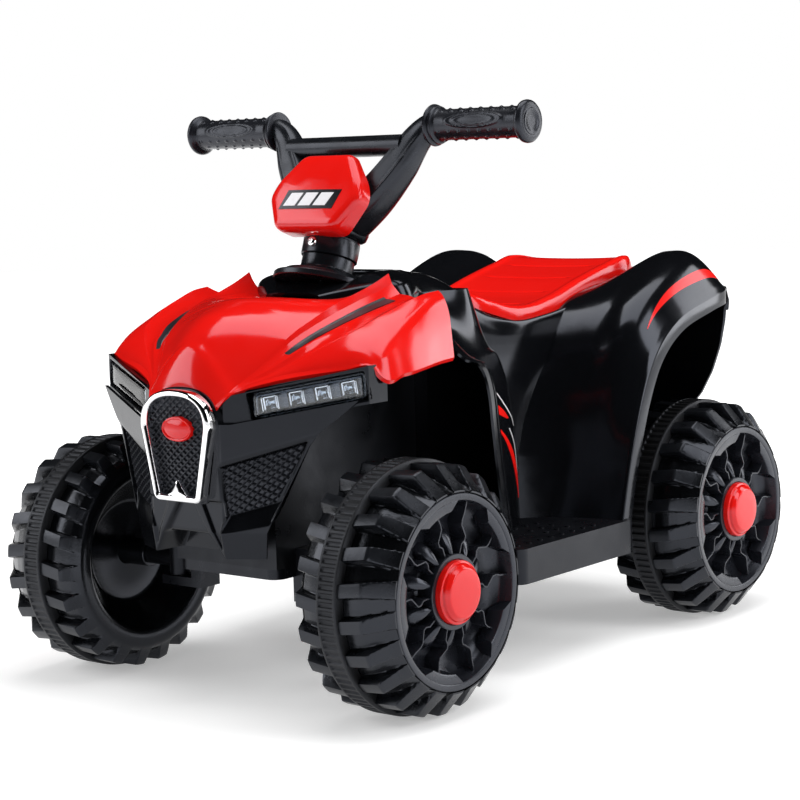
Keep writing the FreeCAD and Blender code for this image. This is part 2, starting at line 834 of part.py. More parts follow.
def make_pan():
    pan = body("chassis_pan")
    floor = named("pan_bottom")
    deck = named("pan_bottom") + " + " + named("pan_depth")
    pad(pan, [outline(pan_outline(0.0), S.board_corner / 2)], named("pan_depth"), level=floor)
    pocket(pan, [outline(pan_outline(S.pan_wall), S.board_corner / 3)],
           named("pan_depth") + " - " + named("pan_wall"), level=floor, up=True)
    reach = S.pan_front_half + S.overrun
    front = S.pan_front - S.overrun
    near = -S.half_wheelbase - S.yoke_half_width
    far = -S.half_wheelbase + S.yoke_half_width
    for low, high in ((front, near), (far, S.pan_arch_rear)):
        pocket(pan, [outline([(-reach, low), (reach, low), (reach, high), (-reach, high)])],
               named("pan_arch"), level=floor, up=True)
    for side in (1, -1):
        inner = side * (S.pan_front_half - S.pan_wall)
        outer = side * (S.kingpin_half + S.yoke_half_width)
        arm = [outline([(inner, near), (outer, near), (outer, far), (inner, far)])]
        web_outer = side * (S.pan_front_half + S.yoke_arm)
        web = [outline([(inner, near), (web_outer, near), (web_outer, far), (inner, far)])]
        pad(pan, arm, named("yoke_arm"), level=floor)
        pad(pan, web, named("yoke_top") + " - " + named("pan_bottom"), level=floor)
        pad(pan, arm, named("yoke_arm"), level=named("yoke_top") + " - " + named("yoke_arm"))
        pocket(pan, [ring(S.kingpin_radius + S.run_gap, side * S.kingpin_half, -S.half_wheelbase)],
               named("yoke_top"), level=named("yoke_top"))
    hub = [ring(S.boss_radius, S.half_wheelbase, S.wheel_radius)]
    pad(pan, hub, named("half_track") + " - " + named("wheel_hub_inner") + " - " + named("fit_gap")
        + " - " + named("pan_rear_half") + " + " + named("pan_wall"), "YZ_Plane",
        named("pan_rear_half") + " - " + named("pan_wall"))
    pocket(pan, [ring(S.axle_radius + S.run_gap, S.half_wheelbase, S.wheel_radius)],
           "2 * " + named("half_track"), "YZ_Plane", named("half_track"))
    pad(pan, deck_dots(), named("dot_height"), level=deck)
    wide = S.battery_width / 2 + S.fit_gap
    deep = S.battery_depth / 2 + S.fit_gap
    rib = S.tray_rib
    tray = []
    for x, y in ((wide + rib, deep + rib), (wide, deep)):
        front = S.battery_y - y
        rear = S.battery_y + y
        tray.append(outline([(x, rear), (-x, rear), (-x, front), (x, front)]))
    pad(pan, tray, named("tray_height"), level=deck)
    ear_inner = S.pedal_half + S.fit_gap
    for side in (1, -1):
        x = S.pedal_x + side * (ear_inner + S.ear_width / 2)
        half = S.ear_width / 2
        pad(pan, [outline([
            (x - half, S.pedal_heel - S.ear_half), (x + half, S.pedal_heel - S.ear_half),
            (x + half, S.pedal_heel + S.ear_half), (x - half, S.pedal_heel + S.ear_half),
        ])], named("pedal_pivot_height") + " + " + named("ear_half"), level=deck)
    pivot_level = S.pan_bottom + S.pan_depth + S.pedal_pivot_height
    pocket(pan, [ring(S.pedal_pin_radius + S.run_gap, S.pedal_heel, pivot_level)],
           named("board_half"), "YZ_Plane", "0 - " + named("pan_rear_half"))


def deck_dots():
    """Anti-slip dots over both footboards, clear of the pedal and of the body above."""
    dots = []
    pitch = S.dot_pitch
    edge_share = 0.9
    rows = int((S.board_rear - S.board_front) / pitch)
    columns = int((S.board_half - S.tub_half) / pitch) - 1
    for i in range(columns):
        for j in range(rows):
            x = S.board_half - (i + edge_share) * pitch
            y = S.board_front + (j + 1) * pitch
            outside = x > S.shield_outer + pitch / 2
            front = S.board_front + pitch / 2 if outside else -pitch
            rear = S.board_rear - pitch * (2 if outside else 3)
            if not front < y < rear:
                continue
            dots.append(ring(S.dot_radius, x, y))
            if not pedal_zone(-x, y):
                dots.append(ring(S.dot_radius, -x, y))
    return dots


def pedal_zone(x, y):
    margin = S.ear_width + S.dot_radius * 2
    across = abs(x - S.pedal_x) < S.pedal_half + margin
    return across and S.pedal_heel - S.pedal_length - margin < y < S.pedal_heel + margin


# Front frame carrying the column, and its column bracket
def make_front_frame():
    half = S.frame_half
    low = S.pan_bottom + S.pan_depth
    profile = [(S.fascia_back, low), (S.frame_rear, low), (S.frame_rear, S.frame_top),
               (S.frame_step, S.frame_top), (S.fascia_back, S.frame_nose_top)]
    wall = S.frame_wall
    hollow = [(S.fascia_back + wall, low - wall), (S.frame_rear - wall, low - wall),
              (S.frame_rear - wall, S.frame_top - wall), (S.frame_step, S.frame_top - wall),
              (S.fascia_back + wall, S.frame_nose_top - wall)]
    tower = body("front_frame")
    start = "0 - " + named("frame_half")
    pad(tower, [outline(profile)], "2 * " + named("frame_half"), "YZ_Plane", start)
    pocket(tower, [outline(hollow)], "2 * " + named("frame_half") + " - 2 * " + named("frame_wall"),
           "YZ_Plane", start + " + " + named("frame_wall"), True)
    middle = S.steer_arm_length - S.half_wheelbase
    slot = [(middle - S.rod_slot_half, low - wall), (middle + S.rod_slot_half, low - wall),
            (middle + S.rod_slot_half, S.rod_slot_top), (middle - S.rod_slot_half, S.rod_slot_top)]
    pocket(tower, [outline(slot)], "2 * " + named("frame_half"), "YZ_Plane", start, True)
    yoke = S.yoke_half_width + S.fit_gap
    notch = [(-S.half_wheelbase - yoke, low - wall), (-S.half_wheelbase + yoke, low - wall),
             (-S.half_wheelbase + yoke, S.yoke_top + S.fit_gap),
             (-S.half_wheelbase - yoke, S.yoke_top + S.fit_gap)]
    pocket(tower, [outline(notch)], "2 * " + named("frame_half"), "YZ_Plane", start, True)
    reach = S.shroud_flange - S.shroud_cone_top
    top_y = S.column_y - (S.column_z - S.frame_top) * math.tan(math.radians(S.rake))
    hole = [(-reach, top_y - reach), (reach, top_y - reach), (reach, top_y + reach), (-reach, top_y + reach)]
    pocket(tower, [outline(hole, S.stem_radius)], named("frame_wall") + " * 2", level=named("frame_top"))

    inner = half - wall
    deep = S.bracket_half_depth
    bracket = body("column_bracket", column_place())
    level = named("bracket_level")
    pad(bracket, [outline([(-inner, -deep), (inner, -deep), (inner, deep), (-inner, deep)])],
        named("bracket_thickness"), level=level)
    pad(bracket, [ring(S.bracket_boss_radius)], named("bush_length"), level=level)
    pocket(bracket, [ring(S.bush_radius + S.run_gap)], named("bush_length"), level=level, up=True)


def make_column():
    crank = S.crank_length
    bend = S.stem_bend_radius
    level = S.crank_level
    slant = math.sqrt(0.5)
    top = Vector(0, 0, S.stem_top)
    first_in = Vector(0, 0, level + bend)
    first_mid = Vector(0, bend * (1 - slant), level + bend * (1 - slant))
    first_out = Vector(0, bend, level)
    second_in = Vector(0, crank - bend, level)
    second_mid = Vector(0, crank - bend * (1 - slant), level - bend * (1 - slant))
    second_out = Vector(0, crank, level - bend)
    end = Vector(0, crank, S.crank_end)
    path = Part.Wire([
        Part.LineSegment(top, first_in).toShape(),
        Part.Arc(first_in, first_mid, first_out).toShape(),
        Part.LineSegment(first_out, second_in).toShape(),
        Part.Arc(second_in, second_mid, second_out).toShape(),
        Part.LineSegment(second_out, end).toShape(),
    ])
    profile = Part.Wire([Part.Circle(top, UP, S.stem_radius).toShape()])
    feature("steering_stem", path.makePipeShell([profile], True, True), column_place())

    bushes = []
    for level in (S.shroud_top - S.bush_length, S.bracket_level):
        bush = rod(S.bush_radius, S.bush_length, (0, 0, level), UP)
        bushes.append(bush.cut(rod(S.stem_radius + S.run_gap, S.bush_length, (0, 0, level), UP)))
    feature("stem_bushes", Part.makeCompound(bushes), column_place())

    bush_hole = rod(S.bush_radius + S.run_gap, S.column_z, (0, 0, S.shroud_top - S.column_z), UP)
    shroud = shroud_solid(0.0).cut(bush_hole)
    shroud = shroud.cut(rod(S.shroud_cone_top - S.shell_wall, S.column_z,
                            (0, 0, S.shroud_top - S.bush_length - S.column_z), UP))
    feature("column_shroud", shroud, column_place())

    collar = body("stem_collar", column_place())
    pad(collar, [ring(S.collar_radius), ring(S.stem_radius + S.run_gap)],
        named("collar_high") + " - " + named("collar_low"), level=named("collar_low"))
    middle = (S.collar_low + S.collar_high) / 2
    pocket(collar, [ring(S.bolt_radius + S.run_gap, 0, middle)], named("collar_radius"), "XZ_Plane",
           named("collar_radius"))
    bolt = body("stem_bolt", column_place())
    pad(bolt, [ring(S.bolt_head_radius, 0, middle)], named("bolt_head_height"), "XZ_Plane",
        named("collar_radius"))
    pad(bolt, [ring(S.bolt_radius, 0, middle)], named("bolt_depth"), "XZ_Plane",
        named("collar_radius") + " - " + named("bolt_depth"))


def shroud_solid(gap):
    """Flange and stepped cone round the column, drawn about the column's own axis."""
    height = S.shroud_step - S.shroud_low + 2 * gap
    flange = rod(S.shroud_flange + gap, height, (0, 0, S.shroud_low - gap), UP)
    cone = Part.makeCone(S.shroud_cone_base + gap, S.shroud_cone_top + gap, S.shroud_top - S.shroud_step,
                         Vector(0, 0, S.shroud_step), UP)
    return flange.fuse(cone)


# Handlebar group
def make_handlebar():
    wide = S.hub_half_width
    hub = slab([(-wide, S.hub_front), (wide, S.hub_front), (wide, S.hub_rear), (-wide, S.hub_rear)],
               S.hub_high - S.collar_high, at(0, 0, S.collar_high), S.hub_corner)
    # centre across, height, half width and half depth of each arm section, and its lean from upright
    arm_shares = (
        (0.12, 0.00, 1.25, 1.30, 38),
        (0.44, 0.28, 1.06, 1.15, 41),
        (0.70, 0.63, 0.94, 0.93, 34),
        (0.85, 0.88, 0.80, 0.80, 46),
        (1.00, 1.00, 0.79, 0.79, 90),
    )
    rings = []
    for x_share, rise_share, wide_share, deep_share, lean in arm_shares:
        centre = Vector(x_share * S.arm_span, 0, S.arm_foot + rise_share * S.arm_rise)
        angle = math.radians(lean)
        in_plane = Vector(math.cos(angle), 0, -math.sin(angle))
        a = wide_share * S.arm_half
        b = deep_share * S.arm_half
        count = 12
        ringed = []
        for i in range(count):
            turn = 2 * math.pi * i / count
            ringed.append(centre + in_plane * (a * math.cos(turn)) + ALONG * (b * math.sin(turn)))
        curve = Part.BSplineCurve()
        curve.interpolate(Points=ringed, PeriodicFlag=True)
        rings.append(Part.Wire([curve.toShape()]))
    arm = Part.makeLoft(rings, True, False)
    tube_start = S.arm_span - S.overrun / 2
    tube = rod(S.bar_radius, S.bar_end - tube_start, (tube_start, 0, S.bar_height), ACROSS)
    cross = rod(S.cross_radius, 2 * S.cross_half, (-S.cross_half, S.cross_front, S.cross_height), ACROSS)
    bar = hub.fuse([arm, mirrored(arm), tube, mirrored(tube), cross])
    bar = bar.cut(rod(S.stem_radius + S.run_gap, S.stem_top + S.run_gap, (0, 0, 0), UP))
    feature("handlebar", bar, column_place())

    cover_shares = ((0.66, 0.0), (1.0, 0.42), (0.92, 0.62), (0.53, 1.0))
    base = both_sides([(x * S.cover_half, S.cover_low + y * S.cover_rise) for x, y in cover_shares])
    raised_share = 0.86
    centre = S.cover_low + S.cover_rise / 2
    front = [(x * raised_share, centre + (y - centre) * raised_share) for x, y in base]
    edge_share = 0.6
    top = S.cover_low + S.cover_rise
    rows = []
    for points, depth_share in ((base, 0.0), (base, edge_share), (front, 1.0)):
        row = []
        for x, y in points:
            forward = S.cover_depth + S.cover_tilt * (top - y) / S.cover_rise
            row.append((x, S.cover_back - depth_share * forward, y))
        rows.append(row)
    cover = loft(rows, True)
    cover = cover.cut(rod(S.collar_radius + S.fit_gap, S.collar_high + S.fit_gap, (0, 0, 0), UP))
    feature("handlebar_cover", cover, column_place())

    for side, name in ((1, "left"), (-1, "right")):
        turn = Rotation(UP, 0 if side > 0 else 180)
        place = column_place(S.bar_height).multiply(Placement(Vector(0, 0, 0), turn))
        grip = body("grip_" + name, place)
        bore = S.bar_radius + S.run_gap
        flange_in = S.grip_inner + S.grip_flange_width
        flange_out = S.grip_outer - S.grip_flange_width
        turned(grip, [
            (S.arm_span + S.fit_gap, bore), (S.arm_span + S.fit_gap, S.grip_flange),
            (flange_in, S.grip_flange), (flange_in, S.grip_radius),
            (flange_out, S.grip_radius), (flange_out, S.grip_flange),
            (S.grip_outer, S.grip_flange), (S.grip_outer, 0),
            (S.bar_end + S.run_gap, 0), (S.bar_end + S.run_gap, bore),
        ])


# Hood
# Rows run from the nose to the rear edge. Each holds the row's share of the
# length and, from the middle outwards, shares of half width and rise for the
# centre, the bonnet's arch, the inner ridge, both edges of the slot, the valley,
# the outer ridge, the side crease and the lower edge.
hood_row_shares = (
    (0.000, (0.000, 0.165), (0.089, 0.143), (0.196, 0.055), (0.203, 0.045), (0.209, 0.035),
     (0.222, 0.018), (0.234, 0.008), (0.244, 0.004), (0.253, 0.000)),
    (0.034, (0.000, 0.395), (0.152, 0.310), (0.266, 0.097), (0.268, 0.094), (0.271, 0.091),
     (0.275, 0.089), (0.278, 0.087), (0.282, 0.085), (0.285, 0.083)),
    (0.091, (0.000, 0.535), (0.165, 0.445), (0.294, 0.170), (0.299, 0.164), (0.304, 0.160),
     (0.313, 0.156), (0.323, 0.151), (0.334, 0.144), (0.345, 0.135)),
    (0.206, (0.000, 0.694), (0.209, 0.610), (0.373, 0.360), (0.386, 0.330), (0.399, 0.315),
     (0.437, 0.270), (0.462, 0.270), (0.506, 0.245), (0.557, 0.225)),
    (0.320, (0.000, 0.770), (0.241, 0.700), (0.437, 0.520), (0.453, 0.475), (0.475, 0.460),
     (0.573, 0.415), (0.627, 0.430), (0.797, 0.315), (0.823, 0.290)),
    (0.377, (0.000, 0.798), (0.253, 0.740), (0.453, 0.580), (0.470, 0.520), (0.496, 0.496),
     (0.630, 0.480), (0.693, 0.500), (0.924, 0.345), (0.943, 0.320)),
    (0.411, (0.000, 0.815), (0.259, 0.760), (0.462, 0.610), (0.481, 0.545), (0.509, 0.520),
     (0.658, 0.520), (0.728, 0.535), (0.949, 0.360), (0.972, 0.240)),
    (0.577, (0.000, 0.873), (0.272, 0.835), (0.487, 0.740), (0.506, 0.640), (0.557, 0.600),
     (0.712, 0.645), (0.797, 0.665), (0.968, 0.430), (0.994, 0.230)),
    (0.754, (0.000, 0.910), (0.275, 0.895), (0.498, 0.845), (0.528, 0.720), (0.592, 0.670),
     (0.725, 0.720), (0.829, 0.770), (0.956, 0.520), (0.984, 0.260)),
    (0.891, (0.000, 0.930), (0.278, 0.935), (0.509, 0.920), (0.544, 0.780), (0.614, 0.730),
     (0.715, 0.760), (0.848, 0.835), (0.940, 0.590), (0.962, 0.280)),
    (1.000, (0.000, 0.940), (0.278, 0.965), (0.517, 0.995), (0.557, 0.820), (0.639, 0.760),
     (0.709, 0.780), (0.858, 0.855), (0.930, 0.630), (0.953, 0.290)),
)


# Share of the wall by which the hood's inner skin stands in from its outer one.
hood_side_share = 0.6


def hood_solid(drop=0.0, wall=None):
    thick = S.hood_wall if wall is None else wall
    sections = []
    for y_share, *places in hood_row_shares:
        y = S.hood_front + y_share * S.hood_length
        half = [(x * S.hood_half, y, S.hood_base + z * S.hood_rise - drop) for x, z in places]
        lower = [(max(x - thick * hood_side_share, 0) if x else 0, y, z - thick) for x, y, z in half]
        upper = both_sides(list(reversed(half)))
        under = both_sides(list(reversed(lower)))
        sections.append(upper + list(reversed(under)))
    return loft(sections)


def hood_block():
    """Everything above the hood's underside, with a gap below it."""
    thick = S.hood_wall
    top = S.column_z + S.hood_rise
    sections = []
    for y_share, *places in hood_row_shares:
        y = S.hood_front + y_share * S.hood_length
        low = thick + S.fit_gap * 2
        half = []
        for x, z in places:
            across = max(x * S.hood_half - thick * hood_side_share, 0) if x else 0
            half.append((across, y, S.hood_base + z * S.hood_rise - low))
        edge_x = places[-1][0] * S.hood_half + S.fit_gap * 2
        half.append((edge_x, y, half[-1][2]))
        half.append((edge_x, y, top))
        sections.append(both_sides(list(reversed(half))))
    return loft(sections)


def vent_solid(gap):
    """Insert in the slot beside the inner ridge on the left side, or with a gap the slot itself."""
    inset_share = 0.1
    rise = S.overrun if gap else S.vent_proud
    drop = S.overrun if gap else S.hood_wall
    rows = hood_row_shares[3:10]
    sections = []
    for i, (y_share, *places) in enumerate(rows):
        y = S.hood_front + y_share * S.hood_length
        if i == 0:
            y -= gap
        if i == len(rows) - 1:
            y += gap
        (x1, z1), (x2, z2) = [(x * S.hood_half, S.hood_base + z * S.hood_rise) for x, z in places[3:5]]
        step_x = (x2 - x1) * inset_share
        step_z = (z2 - z1) * inset_share
        near = (x1 + step_x - gap, z1 + step_z)
        far = (x2 - step_x + gap, z2 - step_z)
        sections.append([(near[0], y, near[1] + rise), (far[0], y, far[1] + rise),
                         (far[0], y, far[1] - drop), (near[0], y, near[1] - drop)])
    return loft(sections)


def make_hood():
    shape = hood_solid()
    half = S.notch_half
    flat_share = 0.25
    narrow = half * flat_share
    notch = slab([(-half, S.notch_rear), (-narrow, S.notch_front), (narrow, S.notch_front),
                  (half, S.notch_rear), (half, 0), (-half, 0)], S.column_z, at(0, 0, S.hood_base / 2))
    vent_gap = vent_solid(S.fit_gap)
    shape = shape.cut(notch).cut(vent_gap).cut(mirrored(vent_gap))
    feature("hood", largest(shape))
    vent = vent_solid(0.0)
    feature("hood_vents", Part.makeCompound([vent, mirrored(vent)]))


def largest(shape):
    return sorted(shape.Solids, key=lambda s: s.Volume)[-1]


# Fascia, bumper, lamps and grille
def lamp_place():
    turn = Rotation(UP, S.lamp_yaw).multiply(Rotation(ALONG, -S.lamp_tilt)).multiply(Rotation(ACROSS, 90))
    return Placement(Vector(S.lamp_x, S.lamp_y, S.lamp_z), turn)


def lamp_box(length, height, near, far, gap=0.0):
    """Slab in the lamp's own frame, near and far being depths behind the lens front."""
    long = length / 2 + gap
    high = height / 2 + gap
    lean_share = 0.06
    short = long * (1 - lean_share)
    points = [(-long, -high), (short, -high), (long, high), (-short, high)]
    place = lamp_place().multiply(at(0, 0, -far - gap))
    return slab(points, far - near + 2 * gap, place, S.lamp_corner)


def make_fascia():
    back = S.fascia_back
    back_share = 0.96
    foot_share = 1.25

    def bumper_row(z, front_half, front_y, side_half, side_y):
        half = [(front_half, front_y), (side_half, side_y), (side_half * back_share, back)]
        return [(x, y, z) for x, y in both_sides(half)]

    bumper = loft([
        bumper_row(S.bumper_low, S.bumper_low_half, S.bumper_low_y,
                   S.bumper_low_half * foot_share, S.bumper_low_y + S.overrun * 2),
        bumper_row(S.bumper_knee, S.bumper_low_half, S.nose_front, S.bumper_knee_half, S.bumper_knee_y),
        bumper_row(S.bumper_high, S.nose_half, S.nose_front, S.bumper_high_half, S.bumper_side_y),
    ], True)
    nose = box((-S.nose_half, S.nose_front, S.ring_low), (S.nose_half, back, S.ring_high))
    band_plan = both_sides([(S.band_inner_x, S.band_front), (S.band_half, S.band_corner_y),
                            (S.band_half, S.band_back)])
    plan = slab(band_plan, S.band_outer_high, at(0, 0, 0))
    inner_x = S.band_inner_x
    front_view = both_sides([(inner_x, S.band_inner_low), (S.band_half + S.overrun, S.band_outer_low),
                             (S.band_half + S.overrun, S.band_outer_high), (inner_x, S.band_inner_high)])
    elevation = slab(front_view, S.band_outer_high * 2, Placement(Vector(0, 0, 0), Rotation(ACROSS, 90)))
    band = plan.common(elevation)
    wall = S.fascia_wall
    inner_rows = []
    for z, half, side, side_y in (
        (S.bumper_knee + wall, S.bumper_low_half, S.bumper_knee_half, S.bumper_knee_y),
        (S.bumper_high - wall, S.nose_half, S.bumper_high_half, S.bumper_side_y),
    ):
        corners = [(half - wall, S.nose_front + wall * 2), (side - wall, side_y + wall),
                   (side * back_share - wall, back + S.overrun)]
        inner_rows.append([(x, y, z) for x, y in both_sides(corners)])
    solid = bumper.cut(loft(inner_rows, True)).fuse([nose, band])
    hollow = box((-S.nose_half + S.fascia_wall, S.nose_front + S.ring_depth, S.bumper_knee),
                 (S.nose_half - S.fascia_wall, back + S.overrun, S.band_inner_low))
    solid = solid.cut(hollow)
    depth = S.mesh_thickness + S.run_gap
    recess = slab(grille_points(S.ring_band - S.fit_gap), depth, grille_place(S.nose_front + depth))
    solid = solid.cut(recess)
    for shape in (lamp_box(S.lamp_length, S.lamp_height, -S.overrun, S.lamp_depth, S.fit_gap),
                  panel_solid(S.panel_thickness + S.overrun, S.fit_gap)):
        solid = solid.cut(shape).cut(mirrored(shape))
    solid = solid.cut(hood_block())
    solid = solid.cut(box((-S.frame_half, back, 0), (S.frame_half, 0, S.column_z)))
    feature("front_fascia", largest(solid))


def panel_solid(depth, gap):
    """Mesh panel on the left bumper face, following the face's own plane."""
    low = Vector(S.bumper_low_half, S.nose_front, S.bumper_knee)
    along = Vector(S.bumper_high_half - S.nose_half, S.bumper_side_y - S.nose_front, 0)
    top = Vector(S.nose_half, S.nose_front, S.bumper_high)
    run = along.normalize()
    rise = (top - low).normalize()
    normal = run.cross(rise).normalize()
    turn = Rotation(run, normal.cross(run), normal, "XYZ")
    length = S.bumper_high_half - S.nose_half
    height = S.bumper_high - S.bumper_knee
    panel_shares = ((0.16, 0.14), (0.55, 0.14), (0.92, 0.66), (0.92, 0.88), (0.16, 0.88))
    points = [(x * length, y * height) for x, y in panel_shares]
    place = Placement(low, turn).multiply(at(0, 0, -S.panel_thickness - gap))
    return slab(grown(points, gap), depth + gap, place)


def grown(points, gap):
    """Outline with its corners moved out far enough to open a gap along the sides."""
    corner_share = 1.4
    centre_x = sum(p[0] for p in points) / len(points)
    centre_y = sum(p[1] for p in points) / len(points)
    made = []
    for x, y in points:
        away = Vector(x - centre_x, y - centre_y, 0)
        scale = (away.Length + corner_share * gap) / away.Length
        made.append((centre_x + away.x * scale, centre_y + away.y * scale))
    return made


def make_lamps():
    lens = lamp_box(S.lamp_length, S.lamp_height, 0.0, S.lens_depth)
    inside = lamp_box(S.lamp_length - 2 * S.lens_wall, S.lamp_height - 2 * S.lens_wall,
                      S.lens_wall, S.lens_depth + S.overrun)
    lens = lens.cut(inside)
    back = lamp_box(S.lamp_length, S.lamp_height, S.lens_depth + S.fit_gap, S.lamp_depth)
    cups = []
    leds = []
    for half_steps in (-3, -1, 1, 3):
        x = half_steps * S.cup_pitch / 2
        level = -S.lens_depth - S.fit_gap
        place = lamp_place().multiply(at(x, 0, level))
        wide = S.cup_half
        thin = S.cup_half - S.cup_wall
        outer = [(-wide, -wide), (wide, -wide), (wide, wide), (-wide, wide)]
        inner = [(-thin, -thin), (thin, -thin), (thin, thin), (-thin, thin)]
        cup = slab(outer, S.cup_height, place).cut(slab(inner, S.cup_height, place))
        cups.append(cup)
        led_place = place.multiply(at(0, 0, S.run_gap))
        led = Part.makeCylinder(S.led_radius, S.cup_height / 2).fuse(
            Part.makeSphere(S.led_radius, Vector(0, 0, S.cup_height / 2), UP, 0, 90, 360))
        leds.append(led.transformed(led_place.toMatrix()))
    housing = back.fuse(cups)
    feature("headlight_lenses", Part.makeCompound([lens, mirrored(lens)]))
    feature("headlight_housings", Part.makeCompound([housing, mirrored(housing)]))
    feature("headlight_lamps", Part.makeCompound(leds + [mirrored(led) for led in leds]))


def grille_place(y):
    """Frame on the nose, x across, y up, z out of the nose."""
    return Placement(Vector(0, y, 0), Rotation(ACROSS, 90))


def grille_points(inset):
    """Ring outline: a full arch over straight sides that draw in to the foot."""
    half_top = S.ring_half_top - inset
    half_low = S.ring_half_low - inset
    rise = S.ring_rise - inset
    centre = S.ring_high - S.ring_rise
    full_share = 0.83
    points = []
    steps = 16
    for i in range(steps + 1):
        turn = math.pi * i / steps
        across = math.copysign(abs(math.cos(turn)) ** full_share, math.cos(turn))
        points.append((half_top * across, centre + rise * abs(math.sin(turn)) ** full_share))
    points.append((-half_low, S.ring_low + inset))
    points.append((half_low, S.ring_low + inset))
    return points


def make_grille():
    surround = body("grille_surround", grille_place(S.nose_front))
    pad(surround, [outline(grille_points(0.0)), outline(grille_points(S.ring_band))], named("ring_depth"))
    mesh = slab(grille_points(S.ring_band), S.mesh_thickness, grille_place(S.nose_front + S.mesh_thickness))
    half = S.mesh_pitch / 2 - S.mesh_bar / 2
    holes = []
    inside = flat(outline(grille_points(S.ring_band + S.mesh_pitch / 2 + S.mesh_bar / 2)))
    rows = int((S.ring_high - S.ring_low) / S.mesh_pitch * 2)
    columns = int(S.ring_half_top / S.mesh_pitch) + 1
    for j in range(rows):
        for i in range(-columns, columns + 1):
            x = (i + (0.5 if j % 2 else 0)) * S.mesh_pitch
            y = S.ring_low + j * S.mesh_pitch / 2
            beside = abs(x) < S.emblem_half_width + half
            on_emblem = beside and abs(y - S.emblem_z) < S.emblem_half_height + half
            if on_emblem or not inside.isInside(Vector(x, y, 0), S.run_gap, True):
                continue
            diamond = [(x - half, y), (x, y - half), (x + half, y), (x, y + half)]
            place = grille_place(S.nose_front + 2 * S.mesh_thickness)
            holes.append(slab(diamond, S.mesh_thickness * 3, place))
    feature("grille_mesh", mesh.cut(holes))
    emblem = body("grille_emblem", grille_place(S.nose_front))
    oval = Part.Ellipse(Vector(0, S.emblem_z, 0), S.emblem_half_width, S.emblem_half_height)
    pad(emblem, [[oval]], named("emblem_depth"))
    panel = panel_solid(S.panel_thickness, 0.0)
    feature("bumper_meshes", Part.makeCompound([panel, mirrored(panel)]))


# Body shell
# Rows run from the dash to the tail. Each holds the row's share of the length
# and shares of half width and rise for the floor, flank, shoulder, belt and deck.
tub_row_shares = (
    (0.000, (0.88, 0.0), (0.86, 0.36), (0.80, 0.90), (0.72, 0.975), (0.55, 1.000)),
    (0.137, (0.97, 0.0), (0.90, 0.36), (0.85, 0.84), (0.78, 0.905), (0.60, 0.940)),
    (0.246, (1.04, 0.0), (0.95, 0.36), (0.94, 0.76), (0.89, 0.805), (0.72, 0.812)),
    (0.328, (1.05, 0.0), (0.98, 0.36), (1.00, 0.725), (0.97, 0.772), (0.86, 0.765)),
    (0.464, (1.00, 0.0), (0.97, 0.36), (1.02, 0.73), (0.99, 0.779), (0.89, 0.750)),
    (0.600, (0.86, 0.0), (0.88, 0.36), (1.02, 0.758), (0.99, 0.808), (0.89, 0.785)),
    (0.792, (0.83, 0.0), (0.86, 0.36), (1.02, 0.815), (0.99, 0.867), (0.89, 0.850)),
    (0.929, (0.83, 0.0), (0.86, 0.36), (1.00, 0.865), (0.98, 0.915), (0.89, 0.898)),
    (1.000, (0.80, 0.0), (0.84, 0.36), (0.96, 0.870), (0.94, 0.922), (0.85, 0.900)),
)
# Rows along the rear arch: shares of the arch's run and height, lean of the row's plane, share of
# the width, then shares of the rise over the arch at the ridge, the hump and the inner edge.
fender_row_shares = (
    (0.000, 0.000, 180, 1.00, 0.30, 0.42, 0.72),
    (0.075, 0.270, 170, 1.00, 0.31, 0.46, 0.76),
    (0.194, 0.570, 150, 1.00, 0.44, 0.62, 0.88),
    (0.323, 0.765, 125, 1.00, 0.66, 0.80, 0.92),
    (0.517, 0.893, 105, 1.00, 0.74, 0.88, 0.72),
    (0.786, 0.965, 97, 1.00, 0.81, 1.00, 0.56),
    (0.928, 0.990, 94, 0.98, 0.66, 0.90, 0.50),
    (1.000, 1.000, 92, 0.93, 0.34, 0.62, 0.36),
)
# Outline of the wall behind the rear wheel, as shares across the mudguard and of the arch's height.
fender_tail_shares = (
    (0.10, 0.39), (0.49, 0.41), (0.65, 0.51), (0.775, 0.63),
    (0.87, 0.77), (0.92, 0.90), (0.93, 1.02), (0.10, 1.02),
)
# Rows up the leg shield: shares of its height, then of its reach, for the edge, the middle and the back.
shield_row_shares = (
    (0.00, 1.00, 0.31, 0.60, 0.49, 0.95),
    (0.21, 1.00, 0.25, 0.58, 0.47, 0.93),
    (0.44, 1.00, 0.20, 0.56, 0.44, 0.90),
    (0.62, 1.00, 0.16, 0.54, 0.40, 0.84),
    (0.72, 1.00, 0.08, 0.52, 0.34, 0.78),
    (0.765, 0.98, -0.07, 0.50, 0.24, 0.70),
    (0.885, 0.62, -0.10, 0.34, 0.18, 0.62),
    (1.00, 0.20, -0.11, 0.12, 0.10, 0.55),
)


# Height of the rear arch as a share of the tub's rise.
arch_share = 0.785
# Leg shield: its height as a share of the tub's rise, where its rows start as a share of its half
# width ahead of the middle, and the place of its knee and of its shoulder as shares of its reach.
shield_height_share = 0.92
shield_start_share = 0.7
knee_across_share = 0.97
knee_along_share = 0.12
shoulder_share = 0.2


def tub_sections(inset):
    sections = []
    for i, (y_share, *places) in enumerate(tub_row_shares):
        y = S.tub_front + y_share * S.tub_length
        if i == 0:
            y += inset
        if i == len(tub_row_shares) - 1:
            y -= inset
        half = []
        for k, (x, z) in enumerate(places):
            height = S.tub_floor + z * S.tub_rise
            if k > 1:
                height -= inset
            elif k == 0:
                height -= inset * 2
            half.append((x * S.tub_half - inset, y, height))
        sections.append(both_sides(half))
    return sections


